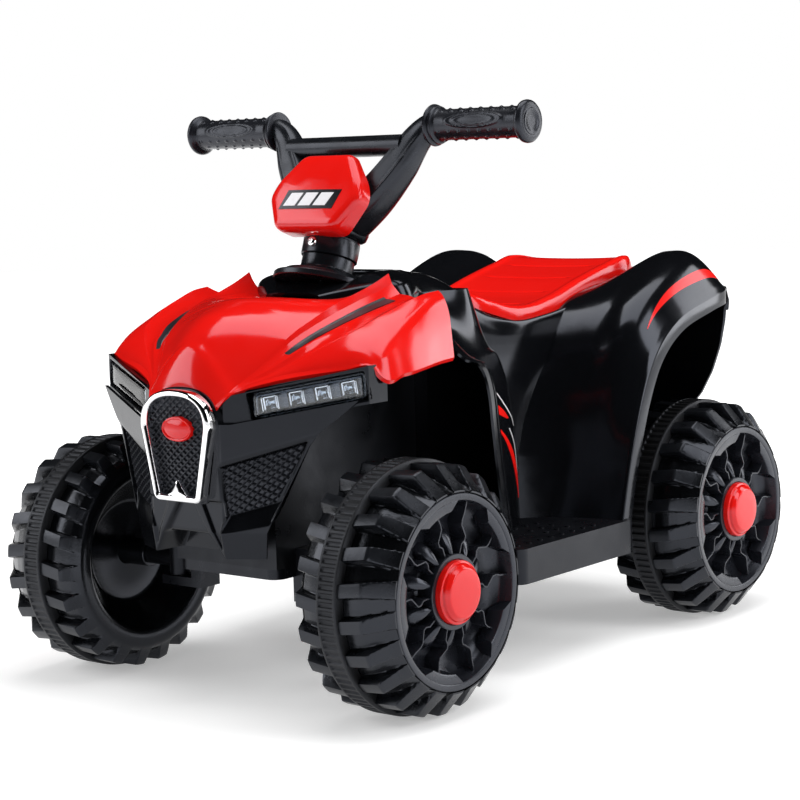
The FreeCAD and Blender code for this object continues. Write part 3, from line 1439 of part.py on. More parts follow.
def tank_sections(inset):
    tank_shares = (
        (0.00, 0.80, 0.72, 0.50, 0.925, 0.940, 0.950),
        (0.25, 1.00, 0.93, 0.66, 0.935, 0.972, 1.000),
        (0.49, 0.84, 0.77, 0.60, 0.930, 0.970, 0.995),
        (0.74, 0.80, 0.72, 0.60, 0.900, 0.930, 0.950),
        (1.00, 0.90, 0.85, 0.74, 0.780, 0.795, 0.800),
    )
    skirt_share = 0.08
    sections = []
    for i, (y_share, x1, x2, x3, z1, z2, z3) in enumerate(tank_shares):
        y = S.tank_front + y_share * (S.tank_rear - S.tank_front)
        if i == 0:
            y += inset
        low = min(S.frame_top, S.tub_floor + (z1 - skirt_share) * S.tub_rise)
        half = [(x1 * S.tub_half - inset, y, low - inset * 2)]
        for x, z in ((x1, z1), (x2, z2), (x3, z3)):
            half.append((x * S.tub_half - inset, y, S.tub_floor + z * S.tub_rise - inset))
        sections.append(both_sides(half))
    return sections


def fender_sections(inset, grow):
    run = S.fender_rear - S.board_rear
    height = S.tub_rise * arch_share
    inner = S.fender_inner + (inset + S.fender_wall / 2 if inset else 0)
    span = S.fender_outer - S.fender_inner
    ridge_share = 0.83
    hump_share = 0.47
    low = -inset - grow
    sections = []
    for y_share, z_share, lean, wide, ridge, hump, rim in fender_row_shares:
        angle = math.radians(lean)
        away = Vector(0, math.cos(angle), math.sin(angle))
        base = Vector(0, S.board_rear + y_share * run, S.tub_floor + z_share * height)
        reach = span * wide
        outer = S.fender_inner + reach - inset
        crown = max(ridge * S.fender_rise, S.fender_lip)
        points = [
            (inner, low),
            (outer, low),
            (outer, S.fender_lip - inset),
            (S.fender_inner + reach * ridge_share - inset / 2, crown - inset),
            (S.fender_inner + reach * hump_share, hump * S.fender_rise - inset),
            (inner, rim * S.fender_rise - inset),
        ]
        row = []
        for x, h in points:
            p = base + away * h
            row.append((x, p.y, p.z))
        sections.append(row)
    return sections


def fender_solid():
    """Left mudguard: a thin arch closed at the tail by a wall that hangs behind the wheel."""
    outside = loft(fender_sections(0.0, 0.0))
    arch = outside.cut(loft(fender_sections(S.fender_wall, S.overrun)))
    wall = S.fender_wall
    end = outside.common(box((0, S.fender_rear - wall, 0),
                             (S.fender_outer, S.fender_rear + S.overrun, S.column_z)))
    span = S.fender_outer - S.fender_inner
    height = S.tub_rise * arch_share
    points = [(S.fender_inner + x * span, S.tub_floor + z * height) for x, z in fender_tail_shares]
    tail = slab(points, wall, Placement(Vector(0, S.fender_rear, 0), Rotation(ACROSS, 90)))
    return arch.fuse([end, tail])


def shield_row(shares):
    """Height, edge, knee, middle and back points of one leg shield row."""
    z_share, edge_x, edge_y, mid_x, mid_y, back_y = shares
    reach = S.shield_outer - S.shield_inner
    run = S.shield_outer
    start = -run * shield_start_share
    z = S.tub_floor + z_share * S.tub_rise * shield_height_share
    front = start + edge_y * run
    edge = (S.shield_inner + reach * edge_x, front)
    knee = (S.shield_inner + reach * edge_x * knee_across_share, front + reach * knee_along_share)
    middle = (S.shield_inner + reach * mid_x, start + mid_y * run)
    back = start + back_y * run
    return z, edge, knee, middle, back


def shield_solid():
    inner = S.shield_inner
    shoulder = inner + (S.shield_outer - inner) * shoulder_share
    sections = []
    for shares in shield_row_shares:
        z, edge, knee, middle, back = shield_row(shares)
        points = [(inner, back), (shoulder, back), middle, knee, edge, (inner, edge[1])]
        sections.append([(x, y, z) for x, y in points])
    return loft(sections)


def shield_hollow():
    """Space behind the leg shield's skin, open towards the front wheel."""
    wall = S.shield_wall
    slant_share = 1.6
    slant = wall * slant_share
    inner = S.shield_inner + wall * 4
    rows = shield_row_shares[:6]
    sections = []
    for i, shares in enumerate(rows):
        z, edge, knee, middle, back = shield_row(shares)
        z += (S.run_gap - S.overrun) if i == 0 else -wall * i / len(rows)
        front = edge[1] - S.overrun
        points = [(inner, front), (inner, back - wall * 4), (middle[0] - wall, middle[1] - slant),
                  (knee[0] - wall, knee[1] - slant), (edge[0] - wall, front)]
        sections.append([(x, y, z) for x, y in points])
    return loft(sections)


def make_shell():
    tub = loft(tub_sections(0.0))
    tank = loft(tank_sections(0.0))
    fender = fender_solid()
    shield = shield_solid().cut(shield_hollow())
    shell = tub.fuse([tank])
    for part in (fender, shield):
        shell = shell.fuse([part, mirrored(part)])
    shell = shell.cut(loft(tub_sections(S.shell_wall)))
    column = column_place()
    shaft = rod(S.shroud_cone_top - S.shell_wall, S.column_z, (0, 0, S.shroud_low - S.column_z / 2), UP)
    top = rod(S.shroud_flange + S.fit_gap, S.column_z, (0, 0, S.shroud_low - S.fit_gap), UP)
    shell = shell.cut([shaft.transformed(column.toMatrix()), top.transformed(column.toMatrix())])
    shell = shell.cut(bezel_solid(S.fit_gap)).cut(seat_space())
    shell = shell.cut(rod(S.socket_radius + S.fit_gap, S.tub_length, (0, 0, S.socket_z), ALONG))
    shell = shell.cut(rod(S.boss_radius + S.fit_gap, 2 * S.half_track,
                          (-S.half_track, S.half_wheelbase, S.wheel_radius), ACROSS))
    motor = gear_places()["motor_pinion"]
    shell = shell.cut(rod(S.motor_radius + S.fit_gap * 2, S.tub_half * 2,
                          (-S.tub_half * 2, motor[0], motor[1]), ACROSS))
    beside_frame = S.frame_half + S.fit_gap
    shell = shell.cut(box((-beside_frame, S.tank_front - S.overrun, 0),
                          (beside_frame, S.frame_rear, S.frame_top)))
    hood_space = hood_solid(S.fit_gap, S.hood_wall + 2 * S.fit_gap)
    shell = shell.cut(hood_space.translated(Vector(0, 0, S.fit_gap * 2)))
    feature("body_shell", largest(shell))


# Seat
# Rows run from the front tongue to the tail: shares of the length, half width and rise.
seat_row_shares = (
    (0.000, 0.62, 0.56),
    (0.068, 0.80, 0.46),
    (0.164, 0.91, 0.23),
    (0.253, 0.97, 0.06),
    (0.334, 0.99, 0.03),
    (0.471, 1.00, 0.18),
    (0.648, 1.00, 0.53),
    (0.812, 1.00, 0.81),
    (0.940, 0.99, 0.98),
    (1.000, 0.86, 0.90),
)


def seat_space():
    """Room for the seat over the deck, with a gap all round its skirt."""
    sections = []
    for y_share, x_share, z_share in seat_row_shares:
        y = S.seat_front + y_share * S.seat_length
        half = x_share * S.seat_half + S.seat_wall + S.fit_gap
        low = S.seat_low + z_share * S.seat_rise - S.seat_skirt - S.fit_gap
        high = low + S.seat_rise * 2
        sections.append([(half, y, low), (half, y, high), (-half, y, high), (-half, y, low)])
    return loft(sections)


def make_seat():
    edge_share = 0.86
    middle_share = 0.5
    dip_share = 0.4
    groove_shares = (0.40, 0.54, 0.68, 0.82)
    wall = S.seat_wall
    sections = []
    for y_share, x_share, z_share in seat_row_shares:
        y = S.seat_front + y_share * S.seat_length
        half = x_share * S.seat_half
        top = S.seat_low + z_share * S.seat_rise
        dip = wall * dip_share
        upper = [(half + wall, top - S.seat_skirt), (half, top),
                 (half * edge_share, top - dip), (half * middle_share, top - wall)]
        under = [(half, top - S.seat_skirt), (half - wall, top - wall),
                 (half * edge_share, top - wall - dip), (half * middle_share, top - wall * 2)]
        up = both_sides(upper)
        down = both_sides(under)
        sections.append([(x, y, z) for x, z in up + list(reversed(down))])
    shape = loft(sections)
    for share in groove_shares:
        height, slope = seat_height(share)
        y = S.seat_front + share * S.seat_length
        bar = Part.makeBox(2 * S.seat_groove_half, S.seat_groove_width, wall * 3,
                           Vector(-S.seat_groove_half, -S.seat_groove_width / 2, 0))
        place = Placement(Vector(0, y, height - wall / 2 - S.seat_groove),
                          Rotation(ACROSS, math.degrees(slope)))
        shape = shape.cut(bar.transformed(place.toMatrix()))
    feature("seat", largest(shape))


def seat_height(share):
    rows = seat_row_shares
    for first, second in zip(rows, rows[1:]):
        if first[0] <= share <= second[0]:
            part = (share - first[0]) / (second[0] - first[0])
            rise = (second[2] - first[2]) * S.seat_rise
            run = (second[0] - first[0]) * S.seat_length
            return S.seat_low + first[2] * S.seat_rise + part * rise, math.atan2(rise, run)
    raise ValueError("share outside the seat")


# Drive train
# Direction in degrees of the step from each gear axis to the next, from the rear axle on.
gear_step_angles = {"second_gear": 150, "first_gear": 150, "motor_pinion": 120}


def gear_places():
    """Centres (y, z) of the gear axes, stepping up and forward from the rear axle."""
    m = S.gear_module
    gaps = {
        "second_gear": m * (S.output_teeth + S.small_teeth) / 2,
        "first_gear": m * (S.second_teeth + S.small_teeth) / 2,
        "motor_pinion": m * (S.first_teeth + S.pinion_teeth) / 2,
    }
    places = {"output_gear": (S.half_wheelbase, S.wheel_radius)}
    y, z = places["output_gear"]
    for name, angle in gear_step_angles.items():
        y += gaps[name] * math.cos(math.radians(angle))
        z += gaps[name] * math.sin(math.radians(angle))
        places[name] = (y, z)
    return places


def gear_wheel(teeth, tooth_angle, place, start, width):
    """Spur gear with involute flanks in the (y, z) plane, a tooth centred on the angle."""
    m = S.gear_module
    count = int(teeth)
    pitch = m * teeth / 2
    pressure = math.radians(20)
    base = pitch * math.cos(pressure)
    addendum_share = 0.85
    dedendum_share = 1.25
    root = pitch - dedendum_share * m
    tip = pitch + addendum_share * m
    half = math.pi / (2 * count) - S.tooth_backlash / (2 * pitch)
    involute = math.tan(pressure) - pressure
    points = []
    flank_steps = 4
    first = max(base, root)
    for i in range(count):
        middle = math.radians(tooth_angle) + 2 * math.pi * i / count
        flank = []
        for k in range(flank_steps + 1):
            radius = first + (tip - first) * k / flank_steps
            roll = math.acos(min(1.0, base / radius))
            lean = half + involute - (math.tan(roll) - roll)
            flank.append((radius, lean))
        if root < first:
            flank.insert(0, (root, flank[0][1]))
        for radius, lean in flank:
            points.append((radius * math.cos(middle - lean), radius * math.sin(middle - lean)))
        for radius, lean in reversed(flank):
            points.append((radius * math.cos(middle + lean), radius * math.sin(middle + lean)))
    stand = Placement(Vector(start, place[0], place[1]), Rotation(ALONG, UP, ACROSS, "XYZ"))
    return slab(points, width, stand)


def make_gears():
    places = gear_places()
    output = places["output_gear"]
    second = places["second_gear"]
    first = places["first_gear"]
    pinion = places["motor_pinion"]
    width = S.gear_width
    layer = width + S.gear_space
    inside = -S.case_outer + S.case_wall + S.gear_space
    layers = [inside + i * layer for i in range(3)]
    inner_wall = -S.case_inner - S.case_wall
    to_second = gear_step_angles["second_gear"]
    to_first = gear_step_angles["first_gear"]
    to_pinion = gear_step_angles["motor_pinion"]
    half_small = 180 / S.small_teeth
    half_pinion = 180 / S.pinion_teeth

    hub_end = -(S.half_track - S.wheel_hub_inner)
    wheel = gear_wheel(S.output_teeth, to_second, output, layers[0], width)
    hub = rod(S.output_hub_radius, layers[0] + width - hub_end, (hub_end, output[0], output[1]), ACROSS)
    flange_length = -S.case_outer - S.fit_gap - hub_end
    flange = rod(S.output_flange_radius, flange_length, (hub_end, output[0], output[1]), ACROSS)
    bore = rod(S.axle_radius + S.run_gap, S.half_track, (-S.half_track, output[0], output[1]), ACROSS)
    feature("output_gear", wheel.fuse([hub, flange]).cut(bore))

    compound("second_gear", second, layers[:2],
             (S.second_teeth, to_first, to_second + 180 + half_small), inner_wall)
    compound("first_gear", first, layers[1:],
             (S.first_teeth, to_pinion, to_first + 180 + half_small), inner_wall)

    gear = gear_wheel(S.pinion_teeth, to_pinion + 180 + half_pinion, pinion, layers[2], width)
    shaft_end = -S.case_inner + S.motor_neck_radius
    shaft = rod(S.motor_shaft_radius, shaft_end - layers[2], (layers[2], pinion[0], pinion[1]), ACROSS)
    feature("motor_pinion", gear.fuse(shaft))
    return places, inside, inner_wall


def compound(label, place, starts, teeth, inner_wall):
    """Small and large gear moulded together, turning on a trunnion at each end. Starts are the layers of
    the small and the large gear; teeth are the large gear's count and both gears' tooth angles."""
    small_start, big_start = starts
    big_teeth, big_angle, small_angle = teeth
    small = gear_wheel(S.small_teeth, small_angle, place, small_start, S.gear_width + S.gear_space)
    big = gear_wheel(big_teeth, big_angle, place, big_start, S.gear_width)
    low = -S.case_outer + S.case_wall + S.fit_gap - S.trunnion_length / 2
    high = inner_wall - S.fit_gap + S.trunnion_length / 2
    pin = rod(S.trunnion_radius, high - low, (low, place[0], place[1]), ACROSS)
    sleeve_start = low + S.trunnion_length / 2
    sleeve = rod(S.gear_bore_wall, high - low - S.trunnion_length, (sleeve_start, place[0], place[1]), ACROSS)
    feature(label, small.fuse([big, pin, sleeve]))


def case_points(inset):
    """Outline of the gearbox case in the (y, z) plane, round all four gear axes."""
    reach = S.case_wall + S.gear_space - inset
    m = S.gear_module
    places = gear_places()
    big = m * (S.output_teeth / 2 + 1) + reach
    output = places["output_gear"]
    first = places["first_gear"]
    pinion = places["motor_pinion"]
    small = S.motor_radius + reach
    front_share = 0.5
    top_share = 1.75
    waist_share = 0.45
    heel_share = 0.75
    return [
        (output[0] + big, output[1] - big),
        (output[0] + big, output[1] + big),
        (output[0] - big * front_share, output[1] + big * top_share),
        (first[0] + big * front_share, pinion[1] + small),
        (pinion[0] - small, pinion[1] + small),
        (pinion[0] - small, first[1] - big * waist_share),
        (output[0] - big * heel_share, output[1] - big),
    ]


def make_gearbox():
    places, inside, inner_wall = make_gears()
    cross = Rotation(ALONG, UP, ACROSS, "XYZ")
    wall = named("case_wall")
    inner = body("gearbox_case_inner", Placement(Vector(0, 0, 0), cross))
    depth = named("case_split") + " - " + named("case_inner")
    pad(inner, [outline(case_points(0.0), S.case_corner)], depth, level="0 - " + named("case_split"))
    pocket(inner, [outline(case_points(S.case_wall), S.case_corner - S.case_wall)], depth + " - " + wall,
           level="0 - " + named("case_split"), up=True)
    outer = body("gearbox_case_outer", Placement(Vector(0, 0, 0), cross))
    depth = named("case_outer") + " - " + named("case_split")
    pad(outer, [outline(case_points(0.0), S.case_corner)], depth, level="0 - " + named("case_outer"))
    pocket(outer, [outline(case_points(S.case_wall), S.case_corner - S.case_wall)], depth + " - " + wall,
           level="0 - " + named("case_split"))
    for case in (inner, outer):
        holes = []
        for name in ("second_gear", "first_gear"):
            holes.append(ring(S.trunnion_radius + S.run_gap, *places[name]))
        hub = S.axle_radius + S.run_gap if case is inner else S.output_hub_radius + S.fit_gap
        holes.append(ring(hub, *places["output_gear"]))
        if case is inner:
            holes.append(ring(S.motor_neck_radius + S.run_gap, *places["motor_pinion"]))
        pocket(case, holes, named("half_track"))
    motor = body("motor", Placement(Vector(0, 0, 0), cross))
    axis = places["motor_pinion"]
    pad(motor, [ring(S.motor_radius, *axis)], named("motor_length"), level="0 - " + named("case_inner"))
    pad(motor, [ring(S.motor_neck_radius, *axis)], wall, level="0 - " + named("case_inner") + " - " + wall)
    pocket(motor, [ring(S.motor_shaft_radius + S.run_gap * 2, *axis)], named("motor_length") + " / 2",
           level="0 - " + named("case_inner") + " - " + wall, up=True)


# Battery and controls
def make_battery():
    cell = body("battery", at(0, S.battery_y, S.pan_bottom + S.pan_depth))
    wide = S.battery_width / 2
    deep = S.battery_depth / 2
    case = [(-wide, -deep), (wide, -deep), (wide, deep), (-wide, deep)]
    pad(cell, [outline(case, S.battery_corner)], named("battery_height"))
    for side in (1, -1):
        x = side * wide / 2
        half = S.terminal_width / 2
        pad(cell, [outline([(x - half, -half), (x + half, -half), (x + half, half), (x - half, half)])],
            named("terminal_height"), level=named("battery_height"))


def make_pedal():
    turn = Rotation(ACROSS, -S.pedal_slope)
    place = at(S.pedal_x, S.pedal_heel, S.pan_bottom + S.pan_depth + S.pedal_pivot_height, turn)
    pedal = body("accelerator_pedal", place)
    half = S.pedal_half
    thick = S.pedal_thickness / 2
    pad(pedal, [outline([(-half, -S.pedal_length), (half, -S.pedal_length), (half, 0), (-half, 0)])],
        named("pedal_thickness"), level="0 - " + named("pedal_thickness") + " / 2")
    pad(pedal, [ring(S.pedal_pin_radius)],
        "2 * " + named("pedal_half") + " + 2 * " + named("pedal_pin_length"),
        "YZ_Plane", "0 - " + named("pedal_half") + " - " + named("pedal_pin_length"))
    rib_shares = (0.25, 0.40, 0.55, 0.70, 0.85)
    width_share = 0.8
    wide = half * width_share
    ribs = []
    for share in rib_shares:
        y = -S.pedal_length * share
        ribs.append(outline([(-wide, y), (wide, y), (wide, y + thick), (-wide, y + thick)]))
    pad(pedal, ribs, named("dot_height"), level=named("pedal_thickness") + " / 2")


def switch_place():
    return at(0, S.switch_y, S.switch_z, Rotation(ACROSS, -S.switch_slope))


def bezel_solid(gap):
    wide = S.bezel_half_width + gap
    long = S.bezel_half_length + gap
    return slab([(-wide, -long), (wide, -long), (wide, long), (-wide, long)], S.bezel_depth + 3 * S.overrun,
                switch_place().multiply(at(0, 0, -S.bezel_depth)))


def make_switch():
    bezel = body("switch_bezel", switch_place())
    wide = S.bezel_half_width
    long = S.bezel_half_length
    rim = S.bezel_rim
    outer = [(-wide, -long), (wide, -long), (wide, long), (-wide, long)]
    narrow = wide - rim
    short = long - rim
    inner = [(-narrow, -short), (narrow, -short), (narrow, short), (-narrow, short)]
    pad(bezel, [outline(outer), outline(inner)], named("bezel_depth") + " + " + named("bezel_lip"),
        level="0 - " + named("bezel_depth"))
    pocket(bezel, [ring(S.rocker_pin_radius + S.run_gap)], "2 * " + named("bezel_half_width"), "YZ_Plane",
           named("bezel_half_width"))
    rocker = body("direction_rocker", switch_place())
    reach_share = 0.8
    lift_share = 0.28
    drop_share = 0.4
    saddle_share = 0.4
    foot_share = 0.7
    reach = S.rocker_radius * reach_share
    lift = S.rocker_radius * lift_share
    drop = S.rocker_radius * drop_share
    foot = reach * foot_share
    points = [(-reach, lift), (0, lift * saddle_share), (reach, lift), (foot, -drop), (-foot, -drop)]
    edge = named("bezel_half_width") + " - " + named("bezel_rim") + " - " + named("fit_gap")
    pad(rocker, [outline(points)], "2 * (" + edge + ")", "YZ_Plane", "0 - (" + edge + ")")
    pad(rocker, [ring(S.rocker_pin_radius)], "2 * " + named("bezel_half_width"), "YZ_Plane",
        "0 - " + named("bezel_half_width"))


def make_socket():
    rear = S.tub_front + S.tub_length
    socket = body("charging_socket", at(0, rear, S.socket_z, Rotation(UP, 90)))
    turned(socket, [
        (-S.socket_depth, 0),
        (-S.socket_depth, S.socket_radius),
        (0, S.socket_radius),
        (0, S.socket_flange),
        (S.socket_flange_thickness, S.socket_flange),
        (S.socket_flange_thickness, S.socket_bore),
        (S.socket_flange_thickness - S.socket_bore_depth, S.socket_bore),
        (S.socket_flange_thickness - S.socket_bore_depth, 0),
    ])


make_wheels()
make_axles()
make_knuckles()
make_tie_rod()
make_pan()
make_front_frame()
make_column()
make_handlebar()
make_hood()
make_fascia()
make_lamps()
make_grille()
make_shell()
make_seat()
make_gearbox()
make_battery()
make_pedal()
make_switch()
make_socket()
doc.recompute()

# Every sub-part is checked, then written
os.makedirs("parts", exist_ok=True)
for thing in doc.Objects:
    if "Invalid" in thing.State or "Error" in thing.State:
        raise RuntimeError("failed feature: " + thing.Label)
for label, thing in NODES.items():
    if thing.Shape.isNull() or not thing.Shape.isValid() or not thing.Shape.Solids:
        raise RuntimeError("bad shape: " + label)
    thing.Shape.exportStep("parts/" + label + ".step")
print(len(NODES), "sub-parts written")
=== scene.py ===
import math
import bmesh
import bpy
import numpy as np
from mathutils import Matrix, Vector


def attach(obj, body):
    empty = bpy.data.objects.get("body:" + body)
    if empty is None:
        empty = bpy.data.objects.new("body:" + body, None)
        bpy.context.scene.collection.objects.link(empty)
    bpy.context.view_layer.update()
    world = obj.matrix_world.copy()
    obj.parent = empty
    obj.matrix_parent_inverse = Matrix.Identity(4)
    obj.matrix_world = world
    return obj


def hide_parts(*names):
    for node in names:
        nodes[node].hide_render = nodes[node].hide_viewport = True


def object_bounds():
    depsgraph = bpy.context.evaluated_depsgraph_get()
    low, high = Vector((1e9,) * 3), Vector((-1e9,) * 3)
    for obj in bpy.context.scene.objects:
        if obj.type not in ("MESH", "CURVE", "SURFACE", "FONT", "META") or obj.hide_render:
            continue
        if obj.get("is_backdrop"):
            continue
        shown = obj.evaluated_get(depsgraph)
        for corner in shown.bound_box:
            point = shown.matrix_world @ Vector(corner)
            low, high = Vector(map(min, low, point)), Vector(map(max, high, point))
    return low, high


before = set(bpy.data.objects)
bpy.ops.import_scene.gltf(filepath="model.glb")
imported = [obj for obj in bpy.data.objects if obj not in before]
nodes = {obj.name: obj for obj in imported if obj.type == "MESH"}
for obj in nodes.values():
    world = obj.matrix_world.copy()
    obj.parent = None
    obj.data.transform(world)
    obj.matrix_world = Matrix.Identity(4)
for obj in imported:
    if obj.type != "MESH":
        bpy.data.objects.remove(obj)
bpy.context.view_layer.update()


def linear(hex_colour):
    """sRGB hex value as linear RGBA: each channel divided by 12.92 if dark, else taken to the power 2.4."""
    parts = [int(hex_colour[i:i + 2], 16) / 255 for i in (1, 3, 5)]
    return [p / 12.92 if p < 0.04045 else ((p + 0.055) / 1.055) ** 2.4 for p in parts] + [1.0]


def add_node(tree, kind, inputs=None, **settings):
    """Adds one node with its settings, each input given as a value or as another node's output."""
    node = tree.nodes.new(kind)
    for name, value in settings.items():
        setattr(node, name, value)
    for name, value in (inputs or {}).items():
        if isinstance(value, bpy.types.NodeSocket):
            tree.links.new(value, node.inputs[name])
        else:
            node.inputs[name].default_value = value
    return node


def new_finish(name):
    """An empty material, its node tree and the object coordinates in metres."""
    material = bpy.data.materials.new(name)
    material.use_nodes = True
    tree = material.node_tree
    tree.nodes.clear()
    return material, tree, add_node(tree, "ShaderNodeTexCoord").outputs["Object"]


def per_mm(size):
    """Texture scale for a feature of that many millimetres, the coordinates being metres."""
    return 1000 / size


def moulded_plastic(name, colour, second_colour, roughness, grain, grain_depth, specular=0.5):
    """Moulded thermoplastic: two near tones drift over a hand's width where the melt flowed, finger
    smudges a thumb wide change the gloss, and the tool's texture is a fine bump, all in millimetres."""
    material, tree, place = new_finish(name)
    flow = add_node(tree, "ShaderNodeTexNoise", {"Vector": place, "Scale": per_mm(80), "Detail": 3.0})
    tone = add_node(tree, "ShaderNodeMix", {0: flow.outputs[0], 6: linear(colour), 7: linear(second_colour)},
                    data_type="RGBA")
    smudge = add_node(tree, "ShaderNodeTexNoise", {"Vector": place, "Scale": per_mm(22), "Detail": 5.0})
    gloss = add_node(tree, "ShaderNodeMapRange", {
        "Value": smudge.outputs[0], "From Min": 0.3, "From Max": 0.7,
        "To Min": roughness * 0.8, "To Max": roughness * 1.25})
    texture = add_node(tree, "ShaderNodeTexNoise", {"Vector": place, "Scale": per_mm(grain), "Detail": 2.0})
    bump = add_node(tree, "ShaderNodeBump", {"Height": texture.outputs[0], "Distance": grain_depth / 1000})
    # The cool blue-grey specular tint is painted reflection colour: it tints every reflection like bluish
    # studio light.
    shader = add_node(tree, "ShaderNodeBsdfPrincipled", {
        "Base Color": tone.outputs[2], "Roughness": gloss.outputs[0], "Normal": bump.outputs[0],
        "IOR": 1.49, "Specular IOR Level": specular, "Specular Tint": linear("#dce2f2")})
    add_node(tree, "ShaderNodeOutputMaterial", {"Surface": shader.outputs[0]})
    return material


def dress(material, *names):
    """Gives CAD nodes their finish."""
    for name in names:
        nodes[name].data.materials.clear()
        nodes[name].data.materials.append(material)


# Satin polypropylene: near black, its sheen tinted cool blue as painted reflection colour. Its 1 mm leather
# texture is drawn at 1.5 mm to show.
deck_plastic = moulded_plastic("deck_polypropylene", "#0b0c0f", "#111216", 0.3, 1.5, 0.05, 0.34)
dress(deck_plastic, "chassis_pan")

# Front frame, column bracket and steering linkage: black polypropylene mouldings screwed
# to the pan, with zinc plated steel axles, kingpins, stem and tie rod.
# The deck's polypropylene in a duller grade, with a slightly coarser texture.
frame_plastic = moulded_plastic("frame_polypropylene", "#08090b", "#0e0f12", 0.34, 1.8, 0.06, 0.3)
dress(frame_plastic, "front_frame", "column_bracket")


def plated_steel(name, colour, roughness, band):
    """Plated metal: its drawing and polishing marks are a noise, sized in millimetres, in the roughness
    and in a slight bump."""
    material, tree, place = new_finish(name)
    marks = add_node(tree, "ShaderNodeTexNoise", {"Vector": place, "Scale": per_mm(band), "Detail": 4.0})
    gloss = add_node(tree, "ShaderNodeMapRange", {
        "Value": marks.outputs[0], "To Min": roughness * 0.6, "To Max": roughness * 1.5})
    bump = add_node(tree, "ShaderNodeBump", {"Height": marks.outputs[0], "Distance": 0.00002})
    shader = add_node(tree, "ShaderNodeBsdfPrincipled", {
        "Base Color": linear(colour), "Metallic": 1.0, "Roughness": gloss.outputs[0],
        "Normal": bump.outputs[0]})
    add_node(tree, "ShaderNodeOutputMaterial", {"Surface": shader.outputs[0]})
    return material


# Zinc plated steel: pale grey metal with a soft, slightly streaked shine.
zinc_steel = plated_steel("zinc_plated_steel", "#b9bcc2", 0.32, 1.2)
dress(zinc_steel, "rear_axle", "axle_retainers_rear", "axle_retainer_front_left", "axle_retainer_front_right",
      "kingpins", "steering_stem", "tie_rod")
dress(frame_plastic, "steering_knuckle_left", "steering_knuckle_right")
# Nylon: ivory and waxy.
bush_nylon = moulded_plastic("bush_nylon", "#d9d6cc", "#cfcbbf", 0.4, 2.0, 0.02)
dress(bush_nylon, "stem_bushes")

# Drive: a grey two-part gearbox case with white acetal gears, a small can motor and a
# sealed battery, screwed and strapped inside the tail.
# Grey and dark grey ABS with a matt texture, silky ivory acetal, and drawn steel with fine marks.
case_plastic = moulded_plastic("gearbox_grey_plastic", "#3a3c40", "#44464b", 0.42, 2.0, 0.05)
gear_acetal = moulded_plastic("gear_acetal", "#e6e4dc", "#dcd9cf", 0.35, 2.5, 0.01)
motor_can = plated_steel("motor_can_steel", "#a9abb0", 0.28, 0.9)
battery_case = moulded_plastic("battery_case_plastic", "#2c3036", "#33373e", 0.45, 1.5, 0.04)
dress(case_plastic, "gearbox_case_inner", "gearbox_case_outer")
dress(gear_acetal, "motor_pinion", "first_gear", "second_gear", "output_gear")
dress(motor_can, "motor")
dress(battery_case, "battery")

# Wheels: blow moulded black polyethylene, a thin shell with 22 slanted lugs on each
# shoulder. The parting line runs under the traction band, and the back is dished.
TYRE_COUNT = 22
TYRE_REFERENCE = 95.0
LUG_TOP, LUG_FALL = 103.0, 33.0
HUB_ACROSS, HUB_ALONG, HUB_HEIGHT = 170.0, 226.0, 105.0
WHEELS = {"front_left": (1, -1), "front_right": (-1, -1), "rear_left": (1, 1), "rear_right": (-1, 1)}


def place_wheel(points, corner):
    """Wheel drawing to the bike: a half turn on the right side, then carried to its hub, in millimetres."""
    side, end = WHEELS[corner]
    return points * np.array([side, side, 1.0]) + np.array([side * HUB_ACROSS, end * HUB_ALONG, HUB_HEIGHT])


def make_piece(name, sheets, material, body, crease=38, slot=None, replaces=(), spread=None):
    """One mesh of quads from sheets of points in millimetres, each a grid of rows and columns whose
    neighbours join. Doubles are merged so that seams and poles close, faces are turned outwards, and
    edges sharper than the crease angle stay crisp. Spread is a value per point kept as an attribute."""
    vertices = np.concatenate([s.reshape(-1, 3) for s in sheets]) / 1000
    faces = []
    start = 0
    for sheet in sheets:
        rows, columns = sheet.shape[:2]
        index = start + np.arange(rows * columns).reshape(rows, columns)
        quads = np.stack([index[:-1, :-1], index[1:, :-1], index[1:, 1:], index[:-1, 1:]], -1)
        faces.append(quads.reshape(-1, 4))
        start += rows * columns
    mesh = bpy.data.meshes.new(name)
    mesh.from_pydata(vertices.tolist(), [], np.concatenate(faces).tolist())
    if spread is not None:
        layer = mesh.attributes.new("wear", "FLOAT", "POINT")
        layer.data.foreach_set("value", np.concatenate([s.ravel() for s in spread]).astype(np.float32))
    work = bmesh.new()
    work.from_mesh(mesh)
    bmesh.ops.remove_doubles(work, verts=work.verts, dist=2e-6)
    bmesh.ops.dissolve_degenerate(work, dist=1e-7, edges=work.edges)
    bmesh.ops.recalc_face_normals(work, faces=work.faces)
    work.to_mesh(mesh)
    work.free()
    mesh.polygons.foreach_set("use_smooth", np.ones(len(mesh.polygons), bool))
    mesh.set_sharp_from_angle(angle=math.radians(crease))
    piece = bpy.data.objects.new(name, mesh)
    bpy.context.scene.collection.objects.link(piece)
    mesh.materials.append(material)
    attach(piece, body)
    if replaces:
        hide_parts(*replaces)
    return piece


def on_wheels(name, sheets, node, material, **settings):
    """The same piece on each of the four wheels, in place of the CAD node of that corner."""
    for corner in WHEELS:
        make_piece(name + corner, [place_wheel(s, corner) for s in sheets], material,
                   "wheel_" + corner + "_spin", replaces=[node + corner], **settings)


def soft_max(a, b, width):
    """The larger of two, the corner between them rounded over the width."""
    return (a + b + np.sqrt((a - b) ** 2 + width ** 2)) / 2


def turn_about_axle(reach, radius, angle):
    """Points at a reach along the axle, a radius and an angle from the bike's length axis."""
    reach, radius, angle = np.broadcast_arrays(reach, radius, angle)
    return np.stack([reach, radius * np.cos(angle), radius * np.sin(angle)], -1)


def seam(rows):
    """Rows closed round: the first column again after the last."""
    return np.concatenate([rows, rows[:, :1]], 1)


